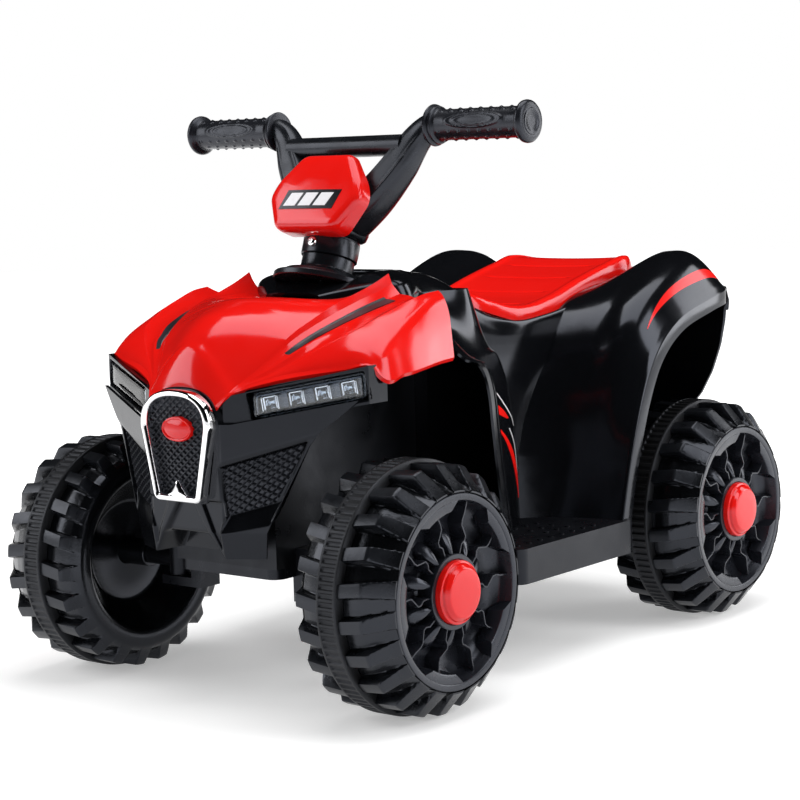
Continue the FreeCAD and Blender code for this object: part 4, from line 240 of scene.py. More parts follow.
def tread_half(reaches, root, end_lean, carcass):
    """Radius over reach and distance from a lug's centre line: the larger of the carcass curve and the
    lug, the lug being the smaller of its roof, which slopes off past 33 mm, and its steep flanks."""
    half_pitch = math.pi * TYRE_REFERENCE / TYRE_COUNT
    steps = np.array([-1, -.75, -.63, -.57, -.52, -.475, -.44, -.405, -.36, -.2, 0, .2, .36, .405, .44, .475,
                      .52, .57, .63, .75]) * half_pitch
    away = np.tile(steps, TYRE_COUNT)
    turn = np.repeat(np.arange(TYRE_COUNT), len(steps)) * 2 * half_pitch + away
    base = np.interp(reaches, *carcass)[:, None]
    roof = LUG_TOP - 20 * np.clip((reaches - LUG_FALL) / (root - LUG_FALL), 0, 1.3)[:, None]
    flank = LUG_TOP - (np.abs(away) - 5.25)[None, :] * 20 / 2.75
    lug = -soft_max(-roof, -flank, 1.6)
    radius = soft_max(base, lug, 1.4) - 0.35
    lean = end_lean * (reaches - 10)[:, None] / (root - 10)
    angle = math.pi / 2 + (turn[None, :] - lean) / TYRE_REFERENCE
    return radius, angle, np.clip((radius - base) / 6, 0, 1)


def tyre_rows():
    """Closed section round the axle: outer tread, hidden strip under the band, inner tread, back dish,
    hub, bore and the hollow's walls, every row with the same columns so that the skin is one sheet."""
    outer_reach = np.array([51, 50.6, 49.8, 48.6, 47.4, 46, 44.5, 43, 41.5, 40, 38.5, 37, 35.6, 34.4, 33.4,
                            32.4, 31, 28, 24, 19, 14.5, 11.5, 10.4, 10])
    outer = tread_half(outer_reach, 50.2, 5, ([10, 24, 36, 44, 48.5, 51], [95, 93.4, 89, 85, 82.6, 81.2]))
    inner_reach = np.array([10, 10.4, 11.5, 14.5, 19, 24, 28, 31, 32.4, 33.4, 34.4, 35.4, 36.4, 37.4, 38.4,
                            39.4, 40.4, 41.3, 42])
    inner = tread_half(inner_reach, 41.2, 5, ([10, 24, 34, 39, 41.5, 42], [95, 94.2, 91.6, 88.4, 85, 83]))
    turn = inner[1] + math.pi / TYRE_COUNT
    back = np.array([(-42.2, 80), (-42, 74), (-41, 71.2), (-39.4, 69.2), (-14.4, 48.2), (-12.6, 46),
                     (-12, 43.5), (-12, 14.5), (-12.6, 12.8), (-14, 12), (-43.4, 12), (-44, 11.4),
                     (-44, 5.05), (28, 5.05), (28, 12), (-9.5, 12), (-9.5, 48.5), (-39.5, 72.5),
                     (-39.5, 83.5), (-33.5, 89.5), (-10, 92), (10, 92), (33.5, 86.4), (41.5, 81.6),
                     (41.5, 75.8), (44, 75.8), (44, 80.8), (51, 80.8)])
    rows = np.concatenate([turn_about_axle(outer_reach[:, None], outer[0], outer[1]),
                           turn_about_axle(-inner_reach[:, None], inner[0], turn),
                           turn_about_axle(back[:, :1], back[:, 1:], turn[-1:])])
    wear = np.concatenate([outer[2], inner[2], np.zeros((len(back), turn.shape[1]))])
    return [seam(np.concatenate([sheet, sheet[:1]])) for sheet in (rows, wear)]


# Blow moulded polyethylene: deep black with a waxy sheen, the lug roofs a shade duller where they
# touch the floor.
wheel_plastic, tree, place = new_finish("wheel_polyethylene")
wear = add_node(tree, "ShaderNodeAttribute", attribute_name="wear").outputs["Fac"]
scuff = add_node(tree, "ShaderNodeTexNoise", {"Vector": place, "Scale": per_mm(9), "Detail": 6.0})
rubbed = add_node(tree, "ShaderNodeMath", {0: wear, 1: scuff.outputs[0]}, operation="MULTIPLY")
tone = add_node(tree, "ShaderNodeMix", {0: rubbed.outputs[0], 6: linear("#08090b"), 7: linear("#131519")},
                data_type="RGBA")
gloss = add_node(tree, "ShaderNodeMapRange", {"Value": rubbed.outputs[0], "To Min": 0.2, "To Max": 0.42})
ripple = add_node(tree, "ShaderNodeTexNoise", {"Vector": place, "Scale": per_mm(2.2), "Detail": 3.0})
bump = add_node(tree, "ShaderNodeBump", {"Height": ripple.outputs[0], "Distance": 0.00009})
# The cool blue-grey specular tint is painted reflection colour, as in the moulded plastics.
shader = add_node(tree, "ShaderNodeBsdfPrincipled", {
    "Base Color": tone.outputs[2], "Roughness": gloss.outputs[0], "Normal": bump.outputs[0], "IOR": 1.51,
    "Specular Tint": linear("#dce2f2")})
add_node(tree, "ShaderNodeOutputMaterial", {"Surface": shader.outputs[0]})

tyre, tyre_wear = tyre_rows()
on_wheels("tyre_", [tyre], "wheel_", wheel_plastic, slot="wheel_plastic", spread=[tyre_wear])

# Traction bands: moulded rubber hoops snapped round the tread so that the drive wheels
# grip, with 96 cross grooves that stop short of the edges.
BAND_RIBS = 96


def band_rows():
    """Hoop section round the axle. The outer radius is 105 mm less a groove: a pulse round the wheel,
    rounded at its shoulders, times a pulse across that fades to nothing at the edge strips."""
    half = np.array([4, 5.6, 6.5, 7.1, 7.6, 8, 9.2, 9.7, 10])
    across = np.concatenate([-half[::-1], [0], half])
    edge = np.interp(np.abs(across), [9.2, 9.7, 10], [0, .2, .7])
    share = np.array([0, .14, .2, .26, .32, .5, .68, .74, .8, .86])
    pulse = np.interp(share, [0, .14, .26, .32, .68, .74, .86, 1], [0, 0, .8, 1, 1, .8, 0, 0])
    pulse = np.tile(pulse, BAND_RIBS)
    rib = np.repeat(np.arange(BAND_RIBS), len(share)) + np.tile(share, BAND_RIBS)
    angle = rib * 2 * math.pi / BAND_RIBS
    deep = np.interp(np.abs(across), [0, 5.6, 6.5, 7.1, 7.6, 10], [1, 1, .92, .7, 0, 0])
    radius = 105 - edge[:, None] - 1.5 * deep[:, None] * pulse[None, :]
    outer = turn_about_axle(across[:, None], radius, angle[None, :])
    inner = turn_about_axle(np.array([[10.0], [-10.0]]), 95.05, angle[None, :])
    return seam(np.concatenate([outer, inner, outer[:1]]))


# Moulded rubber: dull black, a touch browner than the wheel, with a fine matt skin.
band_rubber = moulded_plastic("band_rubber", "#121213", "#191919", 0.46, 1.2, 0.03, 0.4)
on_wheels("band_", [band_rows()], "traction_band_", band_rubber, crease=50, slot="band_rubber")

# Rim inserts: spoked discs of black ABS pressed into the wheel face, with ten hub
# petals, ten thin zigzag ribs and five raised arc pads inside the outer ring.
RIM_SPOKES = 10


def full_turn(columns):
    """Angles once round, the last one meeting the first."""
    return np.linspace(0, 2 * math.pi, columns + 1)


def spun_sheet(profile, columns=160):
    """A profile of (reach, radius) points carried round the axle, its seam meeting itself."""
    profile = np.asarray(profile, float)
    return turn_about_axle(profile[:, :1], profile[:, 1:], full_turn(columns)[None, :])


def drawn_in(rows):
    """Rows with both ends closed: the first and the last row drawn together to their middles."""
    middle = np.repeat(rows[[0, -1]].mean(1, keepdims=True), rows.shape[1], 1)
    return np.concatenate([middle[:1], rows, middle[1:]])


def unit(vectors):
    """Vectors divided by their own length."""
    return vectors / np.linalg.norm(vectors, axis=-1, keepdims=True)


def hub_petal(turn):
    """Tongue beside the hub: width grows then narrows outwards, height falls off as the sixth power
    across and the eighth power along, over a flat underside sunk in the disc."""
    along = np.linspace(0, 1, 15)[:, None]
    across = np.array([-1, -.99, -.95, -.85, -.6, -.25, 0, .25, .6, .85, .95, .99, 1])[None, :]
    radius = 31 + 21 * along
    wide = np.interp(along, [0, .3, .55, .8, 1], [3.0, 5.8, 7.6, 7.2, 4.2])
    height = np.interp(along, [0, .25, .6, .9, 1], [15, 13.5, 10.5, 7, 4]) * (1 - along ** 10)
    reach = 30.5 + height * (1 - np.abs(across) ** 6) * (1 - .1 * across ** 2)
    angle = turn + across * wide / radius
    top = turn_about_axle(reach, radius, angle)
    return [top, turn_about_axle(30.5 + 0 * reach, radius, angle)]


def zigzag_rib(turn, sign):
    """Thin upright wall whose line swings to one side and back to the other on its way from hub to ring."""
    radius = np.array([29, 34, 39, 42.5, 46, 50, 54, 58, 64, 74.2])
    swing = sign * np.array([0, 0, .4, 3.6, 4.0, .2, -3.4, -3.8, -2.4, -1.6])
    angle = turn + swing / radius
    path = turn_about_axle(0 * radius, radius, angle)
    upward = np.array([1.0, 0, 0])
    sideways = unit(np.cross(np.gradient(path, axis=0), upward))
    section = np.array([(-1.0, 30), (-.85, 44.9), (-.5, 45.7), (.5, 45.7), (.85, 44.9), (1.0, 30)])
    rows = path[:, None] + section[None, :, :1] * sideways[:, None] + section[None, :, 1:] * upward
    return seam(drawn_in(rows))


def arc_pad(turn):
    """Raised pad along the ring's inner edge: its section runs in and down, its ends slant outwards."""
    section = np.array([(44, 75), (50, 74.9), (50.6, 74), (50.3, 67.2), (49.7, 66.2), (48.2, 65.6),
                        (36, 64.2), (34, 69)])
    share = np.linspace(-1, 1, 25)[:, None]
    half = np.radians(12.5 + (section[:, 1] - 65.6) * .9)[None, :]
    return seam(drawn_in(turn_about_axle(section[None, :, 0], section[None, :, 1], turn + share * half)))


rim_disc = [(44.05, 80), (50.4, 80), (51, 79.4), (51, 75.2), (50.6, 74.4), (49.6, 73.9), (40, 72.6),
            (35, 69.5), (32.4, 64), (31.3, 58), (31.3, 34), (31.8, 32.2), (33.2, 31), (47.4, 31),
            (48, 30.4), (48, 27), (47.4, 26.3), (45, 26.3), (45, 14), (28.3, 14), (28.3, 60), (30, 67),
            (33, 72), (39, 75), (44.05, 75.4), (44.05, 80)]
rim_sheets = [spun_sheet(rim_disc)]
spoke_step = 2 * math.pi / RIM_SPOKES
for i in range(RIM_SPOKES):
    rim_sheets += hub_petal((i + .5) * spoke_step)
    rim_sheets.append(zigzag_rib(i * spoke_step, 1 if i % 2 else -1))
for i in range(RIM_SPOKES // 2):
    rim_sheets.append(arc_pad((2 * i + 1) * spoke_step))

# Injection moulded ABS, bead polished: black with a soft grey sheen.
rim_plastic = moulded_plastic("rim_abs", "#17181d", "#1e2026", 0.26, 1.6, 0.03, 0.6)
on_wheels("rim_", rim_sheets, "rim_insert_", rim_plastic, crease=35, slot="rim_plastic")

# Hub caps: stepped red ABS buttons, injection moulded, that snap over the axle nut
# and hide it.
cap_profile = [(45.05, 0), (45.05, 26), (51.6, 26), (52.3, 25.7), (52.5, 25.1), (52.5, 24.2), (52.9, 23.7),
               (54.3, 23.5), (55, 23.1), (55.4, 22.5), (57.3, 20.8), (57.8, 20.0), (58, 18.8), (58, 9),
               (58, 0)]
# Glossy ABS in signal red: saturated, with a hard mirror-like skin and a faint moulding ripple.
red_plastic = moulded_plastic("red_abs", "#e3120d", "#ea1a12", 0.13, 9, 0.02, 0.55)
on_wheels("cap_", [spun_sheet(cap_profile, 96)], "hub_cap_", red_plastic, crease=60, slot="red_plastic")


# Body shell: one large blow moulding of gloss black polyethylene with a 2.5 mm wall. The
# tub, dash, leg shields and rear mudguards flow into one another; screws hold it to the pan.
def through(stations, values, wanted):
    """Smooth curve through values at rising stations: cubic pieces whose slopes are the neighbours'."""
    stations, values = np.asarray(stations, float), np.asarray(values, float)
    flat = values.reshape(len(stations), -1)
    slope = np.gradient(flat, stations, axis=0)
    k = np.clip(np.searchsorted(stations, wanted) - 1, 0, len(stations) - 2)
    step = (stations[k + 1] - stations[k])[:, None]
    t = (np.asarray(wanted)[:, None] - stations[k][:, None]) / step
    made = ((2 * t ** 3 - 3 * t ** 2 + 1) * flat[k] + (t ** 3 - 2 * t ** 2 + t) * step * slope[k]
            + (3 * t ** 2 - 2 * t ** 3) * flat[k + 1] + (t ** 3 - t ** 2) * step * slope[k + 1])
    return made.reshape((len(wanted),) + values.shape[1:])


def moulded_wall(skin, inward):
    """Closed wall from an outer skin: its copy moved inwards and the strips that join their four borders."""
    under = skin + inward
    return [skin, under[::-1], np.stack([skin[0], under[0]]), np.stack([under[-1], skin[-1]]),
            np.stack([skin[:, 0], under[:, 0]]), np.stack([under[:, -1], skin[:, -1]])]


def outward(skin):
    """Unit normals of a skin: the cross product of its grid's two directions."""
    normal = np.cross(np.gradient(skin, axis=0), np.gradient(skin, axis=1))
    return normal / (np.linalg.norm(normal, axis=-1, keepdims=True) + 1e-9)


def shell_wall(skin, depth):
    """Moulded wall of even thickness, moved in along the normals."""
    return moulded_wall(skin, -depth * outward(skin))


mirror = np.array([-1.0, 1, 1])


def both_sides(sheets):
    """The sheets of a left half and their mirror images."""
    return sheets + [s * mirror for s in sheets]


def full_width(half):
    """A left half skin carried on over the middle by its mirror image."""
    return np.concatenate([half, (half * mirror)[:, -2::-1]], 1)


BODY_FLOOR = 113.0
# Shares of the length from the dash, then half width and height of the floor, flank, shoulder, belt and deck.
TUB_SHARES = [0, .137, .246, .328, .464, .6, .792, .929, 1]
TUB_RAILS = [[(.88, 0), (.86, .36), (.80, .90), (.72, .975), (.55, 1)],
             [(.97, 0), (.90, .36), (.85, .84), (.78, .905), (.60, .94)],
             [(1.04, 0), (.95, .36), (.94, .76), (.89, .805), (.72, .812)],
             [(1.05, 0), (.98, .36), (1, .725), (.97, .772), (.86, .765)],
             [(1, 0), (.97, .36), (1.02, .73), (.99, .779), (.89, .75)],
             [(.86, 0), (.88, .36), (1.02, .758), (.99, .808), (.89, .785)],
             [(.83, 0), (.86, .36), (1.02, .815), (.99, .867), (.89, .85)],
             [(.83, 0), (.86, .36), (1, .865), (.98, .915), (.89, .898)],
             [(.80, 0), (.84, .36), (.96, .87), (.94, .922), (.85, .90)]]


def rail_skin(shares, rails, front, length, rows, stations, across, ends):
    """Full width skin through rails: smooth along each rail, smooth across them from the lowest rail to the
    deck, straight over the middle, and drawn together to a flat wall at both ends."""
    share = np.linspace(0, 1, rows)
    placed = through(shares, rails, share) * np.array([84, 240]) + np.array([0, BODY_FLOOR])
    half = np.moveaxis(through(stations, np.moveaxis(placed, 1, 0), across), 0, 1)
    half = np.concatenate([half, half[:, -1:] * np.array([(.66, 1), (.33, 1), (0, 1)])], 1)
    along = np.broadcast_to(front + length * share[:, None], half.shape[:2])
    full = full_width(np.stack([half[..., 0], along, half[..., 1]], -1))
    for end in ends:
        cap = [full[end:][:1] * np.array([s, 1, 1]) for s in (.75, .5, .25, 0)]
        full = np.concatenate(cap[::-1] + [full] if end == 0 else [full] + cap)
    return full


def soft_step(value, width):
    """Nought to one round a value's zero, over the width."""
    return 1 / (1 + np.exp(np.clip(-value / width, -40, 40)))


def room_for_seat(skin):
    """Skin lowered under the seat tray so that its skirt stands in a recess."""
    x, y, z = np.moveaxis(skin, -1, 0)
    low = np.interp(y, [-8, 40, 90, 130, 182, 230, 268, 285], [313, 302, 295, 299, 312, 324, 331, 328])
    inside = soft_step(70 - np.abs(x), .9) * soft_step(y + 5, .9) * soft_step(281 - y, .9)
    return np.stack([x, y, z - np.clip(z - low, 0, None) * inside], -1)


COLUMN_ALONG, COLUMN_HEIGHT, COLUMN_LEAN = -118.5, 353.0, math.radians(20)


def room_for_column(skin):
    """Skin lowered below the column shroud's flange inside its own circle."""
    sine, cosine = math.sin(COLUMN_LEAN), math.cos(COLUMN_LEAN)
    y, z = skin[..., 1] - COLUMN_ALONG, skin[..., 2] - COLUMN_HEIGHT
    local_y, local_z = y * cosine - z * sine, y * sine + z * cosine
    inside = soft_step(45 - np.hypot(skin[..., 0], local_y), .7)
    drop = np.clip(local_z + 15, 0, None) * inside
    return skin - drop[..., None] * np.array([0, sine, cosine])


tub_across = np.concatenate([np.linspace(0, .62, 22)[:-1], np.linspace(.62, 1, 34)])
tub = rail_skin(TUB_SHARES, TUB_RAILS, -70, 366, 150, [0, .36, .78, .87, 1], tub_across, (0, -1))
# The dash's tank: the same shares from its tongue under the hood back to the seat.
TANK_SHARES = [0, .25, .49, .74, 1]
TANK_RAILS = [[(.40, .80), (.40, .90), (.37, .925), (.25, .935)],
              [(1, .80), (1, .935), (.93, .972), (.66, 1)],
              [(.84, .80), (.84, .93), (.77, .97), (.60, .995)],
              [(.80, .78), (.80, .90), (.72, .93), (.60, .95)],
              [(.90, .70), (.90, .78), (.85, .795), (.74, .80)]]
tank = rail_skin(TANK_SHARES, TANK_RAILS, -165, 195, 130, [0, .5, .72, 1], np.linspace(0, 1, 44), ())
middle = tank.shape[1] // 2
crown = tank[:, middle:middle + 1]
inner = crown + (tank[:, middle - 3:middle - 2] - crown) * np.linspace(.97, 0, 20)[None, :, None]
tank = full_width(np.concatenate([tank[:, :middle - 3], inner], 1))

# Rows over the rear arch: length and height of the lip, lean and width of the row, then its rise at the
# ridge, hump and inner edge.
MUDGUARD = [(96, 113, 180, 102, 17.1, 23.9, 41), (110.6, 163.9, 170, 102, 17.7, 26.2, 43.3),
            (133.6, 220.4, 150, 102, 25.1, 35.3, 50.2), (158.7, 257.1, 125, 102, 37.6, 45.6, 52.4),
            (196.3, 281.2, 105, 102, 42.2, 50.2, 41), (248.5, 294.8, 97, 102, 46.2, 57, 31.9),
            (276, 299.5, 94, 100, 37.6, 51.3, 28.5), (290, 301.4, 92, 94.9, 19.4, 35.3, 20.5)]
GUARD_INNER = 78.0


def mudguard():
    """Left mudguard: rows follow the arch's line, and each rises from a flat 15 mm lip over a ridge and a
    hump to the tub, along the row's own lean. The front rows sweep forward where they run into the tub."""
    place = np.arange(8)
    row = np.linspace(0, 7, 150)
    y, z, lean, wide, ridge, hump, rim = through(place, MUDGUARD, row).T
    u = np.concatenate([np.linspace(0, .3, 16)[1:], np.linspace(.3, 1, 26)[1:]])
    top = through([0, .17, .53, 1], np.stack([0 * ridge + 15, ridge, hump, rim]), u).T
    x = GUARD_INNER + wide[:, None] * (1 - u[None, :])
    sweep = np.interp(row, [0, 1, 2.2], [1, .9, 0])[:, None]
    top = top + 30 * sweep * np.exp(-(x - GUARD_INNER) / 14)
    lip = np.array([(2.8, .2), (0, 0), (0, 2), (0, 12.6), (.3, 13.9), (1.1, 14.8)])
    x = np.concatenate([GUARD_INNER + wide[:, None] - lip[:, 0], x], 1)
    rise = np.concatenate([np.broadcast_to(lip[:, 1], (len(row), len(lip))), top], 1)
    lean = np.radians(lean)[:, None]
    return np.stack([x, y[:, None] + rise * np.cos(lean), z[:, None] + rise * np.sin(lean)], -1)


def mudguard_tail(end_row):
    """Wall that hangs behind the wheel: columns run down from the last row to a curved lower edge."""
    top = end_row[2:]
    share = (top[:, 0] - GUARD_INNER) / 102
    low = np.interp(share, [0, .10, .49, .65, .775, .87, .92, .93, .94],
                    [.39, .39, .41, .51, .63, .77, .90, .95, 1.06])
    low = np.minimum(BODY_FLOOR + 188.4 * low, top[:, 2] - .5)
    t = np.linspace(0, 1, 24)[:, None]
    height = top[None, :, 2] + (low - top[:, 2])[None, :] * t
    across, bulge = np.broadcast_arrays(top[None, :, 0], 290.2 - 1.8 * t ** 2)
    return np.stack([across, bulge, height], -1)


# Rows up the leg shield: height, then across and length of its front edge, knee, middle, shoulder and back,
# from shares of a plan 84 mm wide and 150 mm long.
SHIELD_ROWS = [(BODY_FLOOR, 1, .31, .60, .49, .95), (159.4, 1, .25, .58, .47, .93),
               (210.2, 1, .20, .56, .44, .90), (249.9, 1, .16, .54, .40, .84),
               (272, 1, .08, .52, .34, .78), (281.9, .98, -.07, .50, .24, .70),
               (308.4, .62, -.10, .34, .18, .62), (333.8, .20, -.11, .12, .10, .55)]
SHIELD = [[(66 + 84 * e, -105 + 150 * f), (66 + 81.5 * e, -95 + 150 * f), (66 + 84 * m, -105 + 150 * n),
           (82.8, -105 + 150 * b), (66, -105 + 150 * b)] for z, e, f, m, n, b in SHIELD_ROWS]


def leg_shield():
    """Left leg shield: rows up the shield, each a smooth line from the front edge round the knee to the tub,
    bowed outwards by half a sine."""
    place = np.arange(8)
    row = np.concatenate([np.linspace(0, 4, 50)[:-1], np.linspace(4, 7, 60)])
    lines = through(place, SHIELD, row)
    height = through(place, [points[:1] for points in SHIELD_ROWS], row)
    across = np.concatenate([[0], np.linspace(.05, .14, 10), np.linspace(.14, 1, 50)[1:]])
    plan = np.moveaxis(through([0, .1, .45, .9, 1], np.moveaxis(lines, 1, 0), across), 0, 1)
    bow = 9 * np.sin(math.pi * np.clip((across - .1) / .9, 0, 1))[None, :]
    bow = bow * np.interp(height, [113, 250, 300], [1, 1, 0])
    plan = plan + np.stack([bow, 0 * bow], -1)
    return np.stack([plan[..., 0], plan[..., 1], np.broadcast_to(height, plan.shape[:2])], -1)


SHELL_WALL = 2.5
guard = mudguard()
shield = leg_shield()[:, ::-1]
body_sheets = shell_wall(room_for_seat(tub), SHELL_WALL)
body_sheets += shell_wall(room_for_column(room_for_seat(tank)), SHELL_WALL)
for skin in (guard, mudguard_tail(guard[-1]), shield):
    body_sheets += both_sides(shell_wall(skin, SHELL_WALL))
# Gloss polyethylene: near black with a wet shine, faint flow waves a hand wide and light dust.
body_plastic = moulded_plastic("body_gloss_plastic", "#08090b", "#0d0e11", 0.14, 14, 0.05, 0.5)
make_piece("body_moulding", body_sheets, body_plastic, "chassis", crease=40, slot="black_plastic",
           replaces=["body_shell"])


# Body stickers: plain stripes cut from printed vinyl and pressed on by hand, red and white
# on the leg shields and red over the mudguards.
def sticker(skin, edges, thickness=.3):
    """Thin strip on a skin. Each row of edges holds a row of the skin's grid and the two columns between
    which the strip runs; its points are blended from the grid's four nearest and raised along the normals."""
    place = through(np.linspace(0, 1, len(edges)), edges, np.linspace(0, 1, 48))
    row = np.repeat(place[:, :1], 6, 1)
    column = place[:, 1:2] + (place[:, 2:] - place[:, 1:2]) * np.linspace(0, 1, 6)[None, :]
    normal = outward(skin)
    k, j = row.astype(int), column.astype(int)
    a, b = (row - k)[..., None], (column - j)[..., None]
    base, top = [(g[k, j] * (1 - b) + g[k, j + 1] * b) * (1 - a)
                 + (g[k + 1, j] * (1 - b) + g[k + 1, j + 1] * b) * a
                 for g in (skin - .2 * normal, skin + thickness * normal)]
    return moulded_wall(top, base - top)


red_strips = (
    sticker(guard, [(66, 10, 10.2), (74, 10.2, 11.1), (83, 10, 11.8), (93, 9.7, 11.9), (106, 9.2, 11.6),
                    (124, 8.9, 11.1), (140, 8.8, 9.6)])
    + sticker(shield, [(30, 24.2, 25.6), (28, 20.6, 25.4), (25.5, 17.6, 19)])
    + sticker(shield, [(25, 26.6, 27.4), (21, 20.1, 21.9), (16, 15.1, 17.9), (10, 11, 15), (6.5, 9.8, 14.2)]))
white_strips = (
    sticker(shield, [(33, 22.8, 23.3), (29, 18.7, 19.3), (26, 15.2, 15.8), (23, 11.8, 12.3)])
    + sticker(shield, [(23, 17.7, 18.2), (19, 14.2, 14.8), (14, 11.7, 12.3), (9, 10.4, 10.9),
                       (5.5, 10.1, 10.5)]))
# Printed vinyl: clear red and white, glossy with a faint orange peel.
red_vinyl = moulded_plastic("red_vinyl", "#e3120d", "#ea1a12", 0.2, 2, 0.02)
white_vinyl = moulded_plastic("white_vinyl", "#f2f2f4", "#e6e6ea", 0.2, 2, 0.02)
make_piece("body_stripes_red", both_sides(red_strips), red_vinyl, "chassis", slot="red_plastic")
make_piece("body_stripes_white", both_sides(white_strips), white_vinyl, "chassis", slot="white_plastic")

# Seat: a red ABS tray, injection moulded, with a raised border and four cross grooves,
# screwed over the battery hatch.
# Shares of the length, then half width and height of the border, front tongue to tail.
SEAT_SHARES = [0, .068, .164, .253, .334, .471, .648, .812, .94, 1]
SEAT_BORDER = [(.62, .56), (.80, .46), (.91, .23), (.97, .06), (.99, .03), (1, .18), (1, .53), (1, .81),
               (.99, .98), (.86, .90)]
SEAT_LENGTH = 293


def seat_skin():
    """Tray over rows along and columns across: the border follows smooth lines of width and height, inside it
    the tray dips by a parabola, and four grooves are cut as smooth notches that end short of the border."""
    share = np.concatenate([np.linspace(0, .36, 60)[:-1], np.linspace(.36, .86, 200),
                            np.linspace(.86, 1, 40)[1:]])
    wide, high = (through(SEAT_SHARES, SEAT_BORDER, share) * np.array([73, 40]) + np.array([0, 309])).T
    length = -8 + SEAT_LENGTH * share
    edge_in = np.array([-3, -2.4, -1.2, .4, 1.6, 3, 7.2, 8.6, 9.8, 11])
    edge_up = np.array([-14, -9, -4, -1.2, -.35, 0, 0, -.3, -1.2, -1.7])
    inner = np.linspace(1, 0, 14)[1:]
    across = np.concatenate([wide[:, None] - edge_in, (wide[:, None] - 11) * inner], 1)
    dip = np.concatenate([edge_up, -1.7 - 1.5 * (1 - inner ** 2)])
    up = high[:, None] + dip[None, :]
    groove = sum(np.exp(-np.abs((share - s) * SEAT_LENGTH / 1.7) ** 3) for s in (.40, .54, .68, .82))[:, None]
    up = up - 1.4 * groove * soft_step(47 - across, .8)
    tab = np.exp(-((share - 1) * SEAT_LENGTH / 5) ** 2)[:, None] * np.exp(-(across / 5) ** 4)
    up = up - 2.2 * tab
    skin = np.stack([across, np.broadcast_to(length[:, None], across.shape), up], -1)
    front, rear = skin[:1].copy(), skin[-1:].copy()
    front[..., 2], rear[..., 2] = high[0] - 14, high[-1] - 14
    return np.concatenate([front, skin, rear])


half_seat = seat_skin()
bottom = half_seat[1:-1].copy()
bottom[..., 2] = bottom[:, :1, 2]
make_piece("seat_tray", both_sides([half_seat, bottom[::-1]]), red_plastic, "chassis", crease=40,
           slot="red_plastic", replaces=["seat"])


# Front fascia: gloss black ABS, injection moulded with a 3 mm wall and screwed to the front
# frame. The bumper has two sunk mesh panels over sloping facets and two ridges below the nose.
NOSE_FRONT = -308.0


def lower_front(x, z):
    """Length of the bumper's plain front: flat over the nose, swept back outside it, drawn in at its foot."""
    return NOSE_FRONT + 4 * np.clip((150 - z) / 22, 0, 1) + .514 * np.clip(x - 40, 0, None)


def bumper_face():
    """Left half of the bumper over height and share of its width. Sunk areas are products of soft steps
    across their straight sides: the mesh panel with its sloping facet, the plate between the ridges and
    the gap below it."""
    z = np.concatenate([np.linspace(128, 146, 24)[:-1], np.linspace(146, 240, 130)])[:, None]
    right = np.interp(z, [128, 150, 156, 222, 228, 234, 240], [71, 74.5, 77, 108.6, 116, 131, 147])
    x = right * np.linspace(0, 1, 150)[None, :]
    z = z + np.clip((z - 222) / 18, 0, 1) * np.clip((x - 46) * .2 - 1, 0, None)
    under_brow = 204.5 + (x - 41) * .317 - z
    in_from_edge = (77 + (z - 158) * .433 - x) * .92
    in_from_nose = x - np.interp(z, [149, 164, 204], [38.5, 44, 40])
    facet_foot, facet_top = 148.6 + (x - 38) * .2, 164 + (x - 44) * .308
    panel = soft_step(np.minimum(np.minimum(under_brow, in_from_edge), in_from_nose), .35)
    sunk = 4.4 * panel * np.clip((z - facet_foot) / (facet_top - facet_foot), 0, 1)
    ridge_in = soft_step((8 + (173 - z) * .667 - x) * .83, .4) * soft_step(174 - z, .4)
    sunk = sunk + ridge_in * (5 + 24 * soft_step(146 - z, .5))
    beside_ridge = soft_step((x - 20.5 - (172.3 - z) * .47) * .9, .4) * soft_step(-in_from_nose - 1, .4)
    sunk = sunk + 2.4 * beside_ridge * soft_step(176 - z, .4)
    brow = soft_step(z - 207 - (x - 41) * .317, .5) * soft_step(x - 42, .6)
    return np.stack([x, lower_front(x, z) + sunk - 1.4 * brow, z], -1)


yaw, tilt = math.radians(26.5), math.radians(10)
LAMP_ALONG = np.array([math.cos(yaw) * math.cos(tilt), math.sin(yaw) * math.cos(tilt), math.sin(tilt)])
LAMP_OUT = np.array([math.sin(yaw), -math.cos(yaw), 0])
LAMP_UP = np.cross(LAMP_OUT, LAMP_ALONG)
LAMP_MIDDLE = np.array([104.0, -267.5, 261.8])


def lamp_band():
    """Left lamp carrier: a flat strip that rises outwards and turns the corner, a lamp pocket sunk in it."""
    x = np.concatenate([np.linspace(40, 150.5, 190), np.full(12, 150.5)])[None, :]
    y = np.concatenate([np.linspace(-300.5, -245.2, 190), np.linspace(-245.2, -222, 13)[1:]])[None, :]
    share = np.linspace(0, 1, 64)[:, None]
    low, high = np.interp(x, [46, 153], [236, 256]), np.interp(x, [46, 153], [263, 287])
    z = low + (high - low) * share
    place = np.stack([x + 0 * z, y + 0 * z, z], -1)
    away = place - LAMP_MIDDLE
    pocket = soft_step(49.6 - np.abs(away @ LAMP_ALONG), .25) * soft_step(11.1 - np.abs(away @ LAMP_UP), .25)
    return place - 15.5 * pocket[..., None] * LAMP_OUT


def rounded_outline(corners, radius, per_corner=9):
    """Closed outline through corner points, each corner replaced by a parabola that starts a radius away."""
    corners = np.asarray(corners, float)
    start, end = [corners + unit(np.roll(corners, way, 0) - corners) * radius for way in (1, -1)]
    t = np.linspace(0, 1, per_corner)[None, :, None]
    made = start[:, None] * (1 - t) ** 2 + 2 * corners[:, None] * t * (1 - t) + end[:, None] * t ** 2
    made = made.reshape(-1, 2)
    return np.concatenate([made, made[:1]])


def inset(outline, amount):
    """Outline drawn in by an amount along its own normals."""
    step = np.roll(outline[:-1], -1, 0) - np.roll(outline[:-1], 1, 0)
    normal = unit(np.stack([-step[:, 1], step[:, 0]], -1))
    normal = np.concatenate([normal, normal[:1]])
    return outline + normal * amount


def lifted(outline, amount, height):
    """Outline drawn in by an amount, at a height."""
    return np.concatenate([inset(outline, amount), np.full((len(outline), 1), height)], 1)


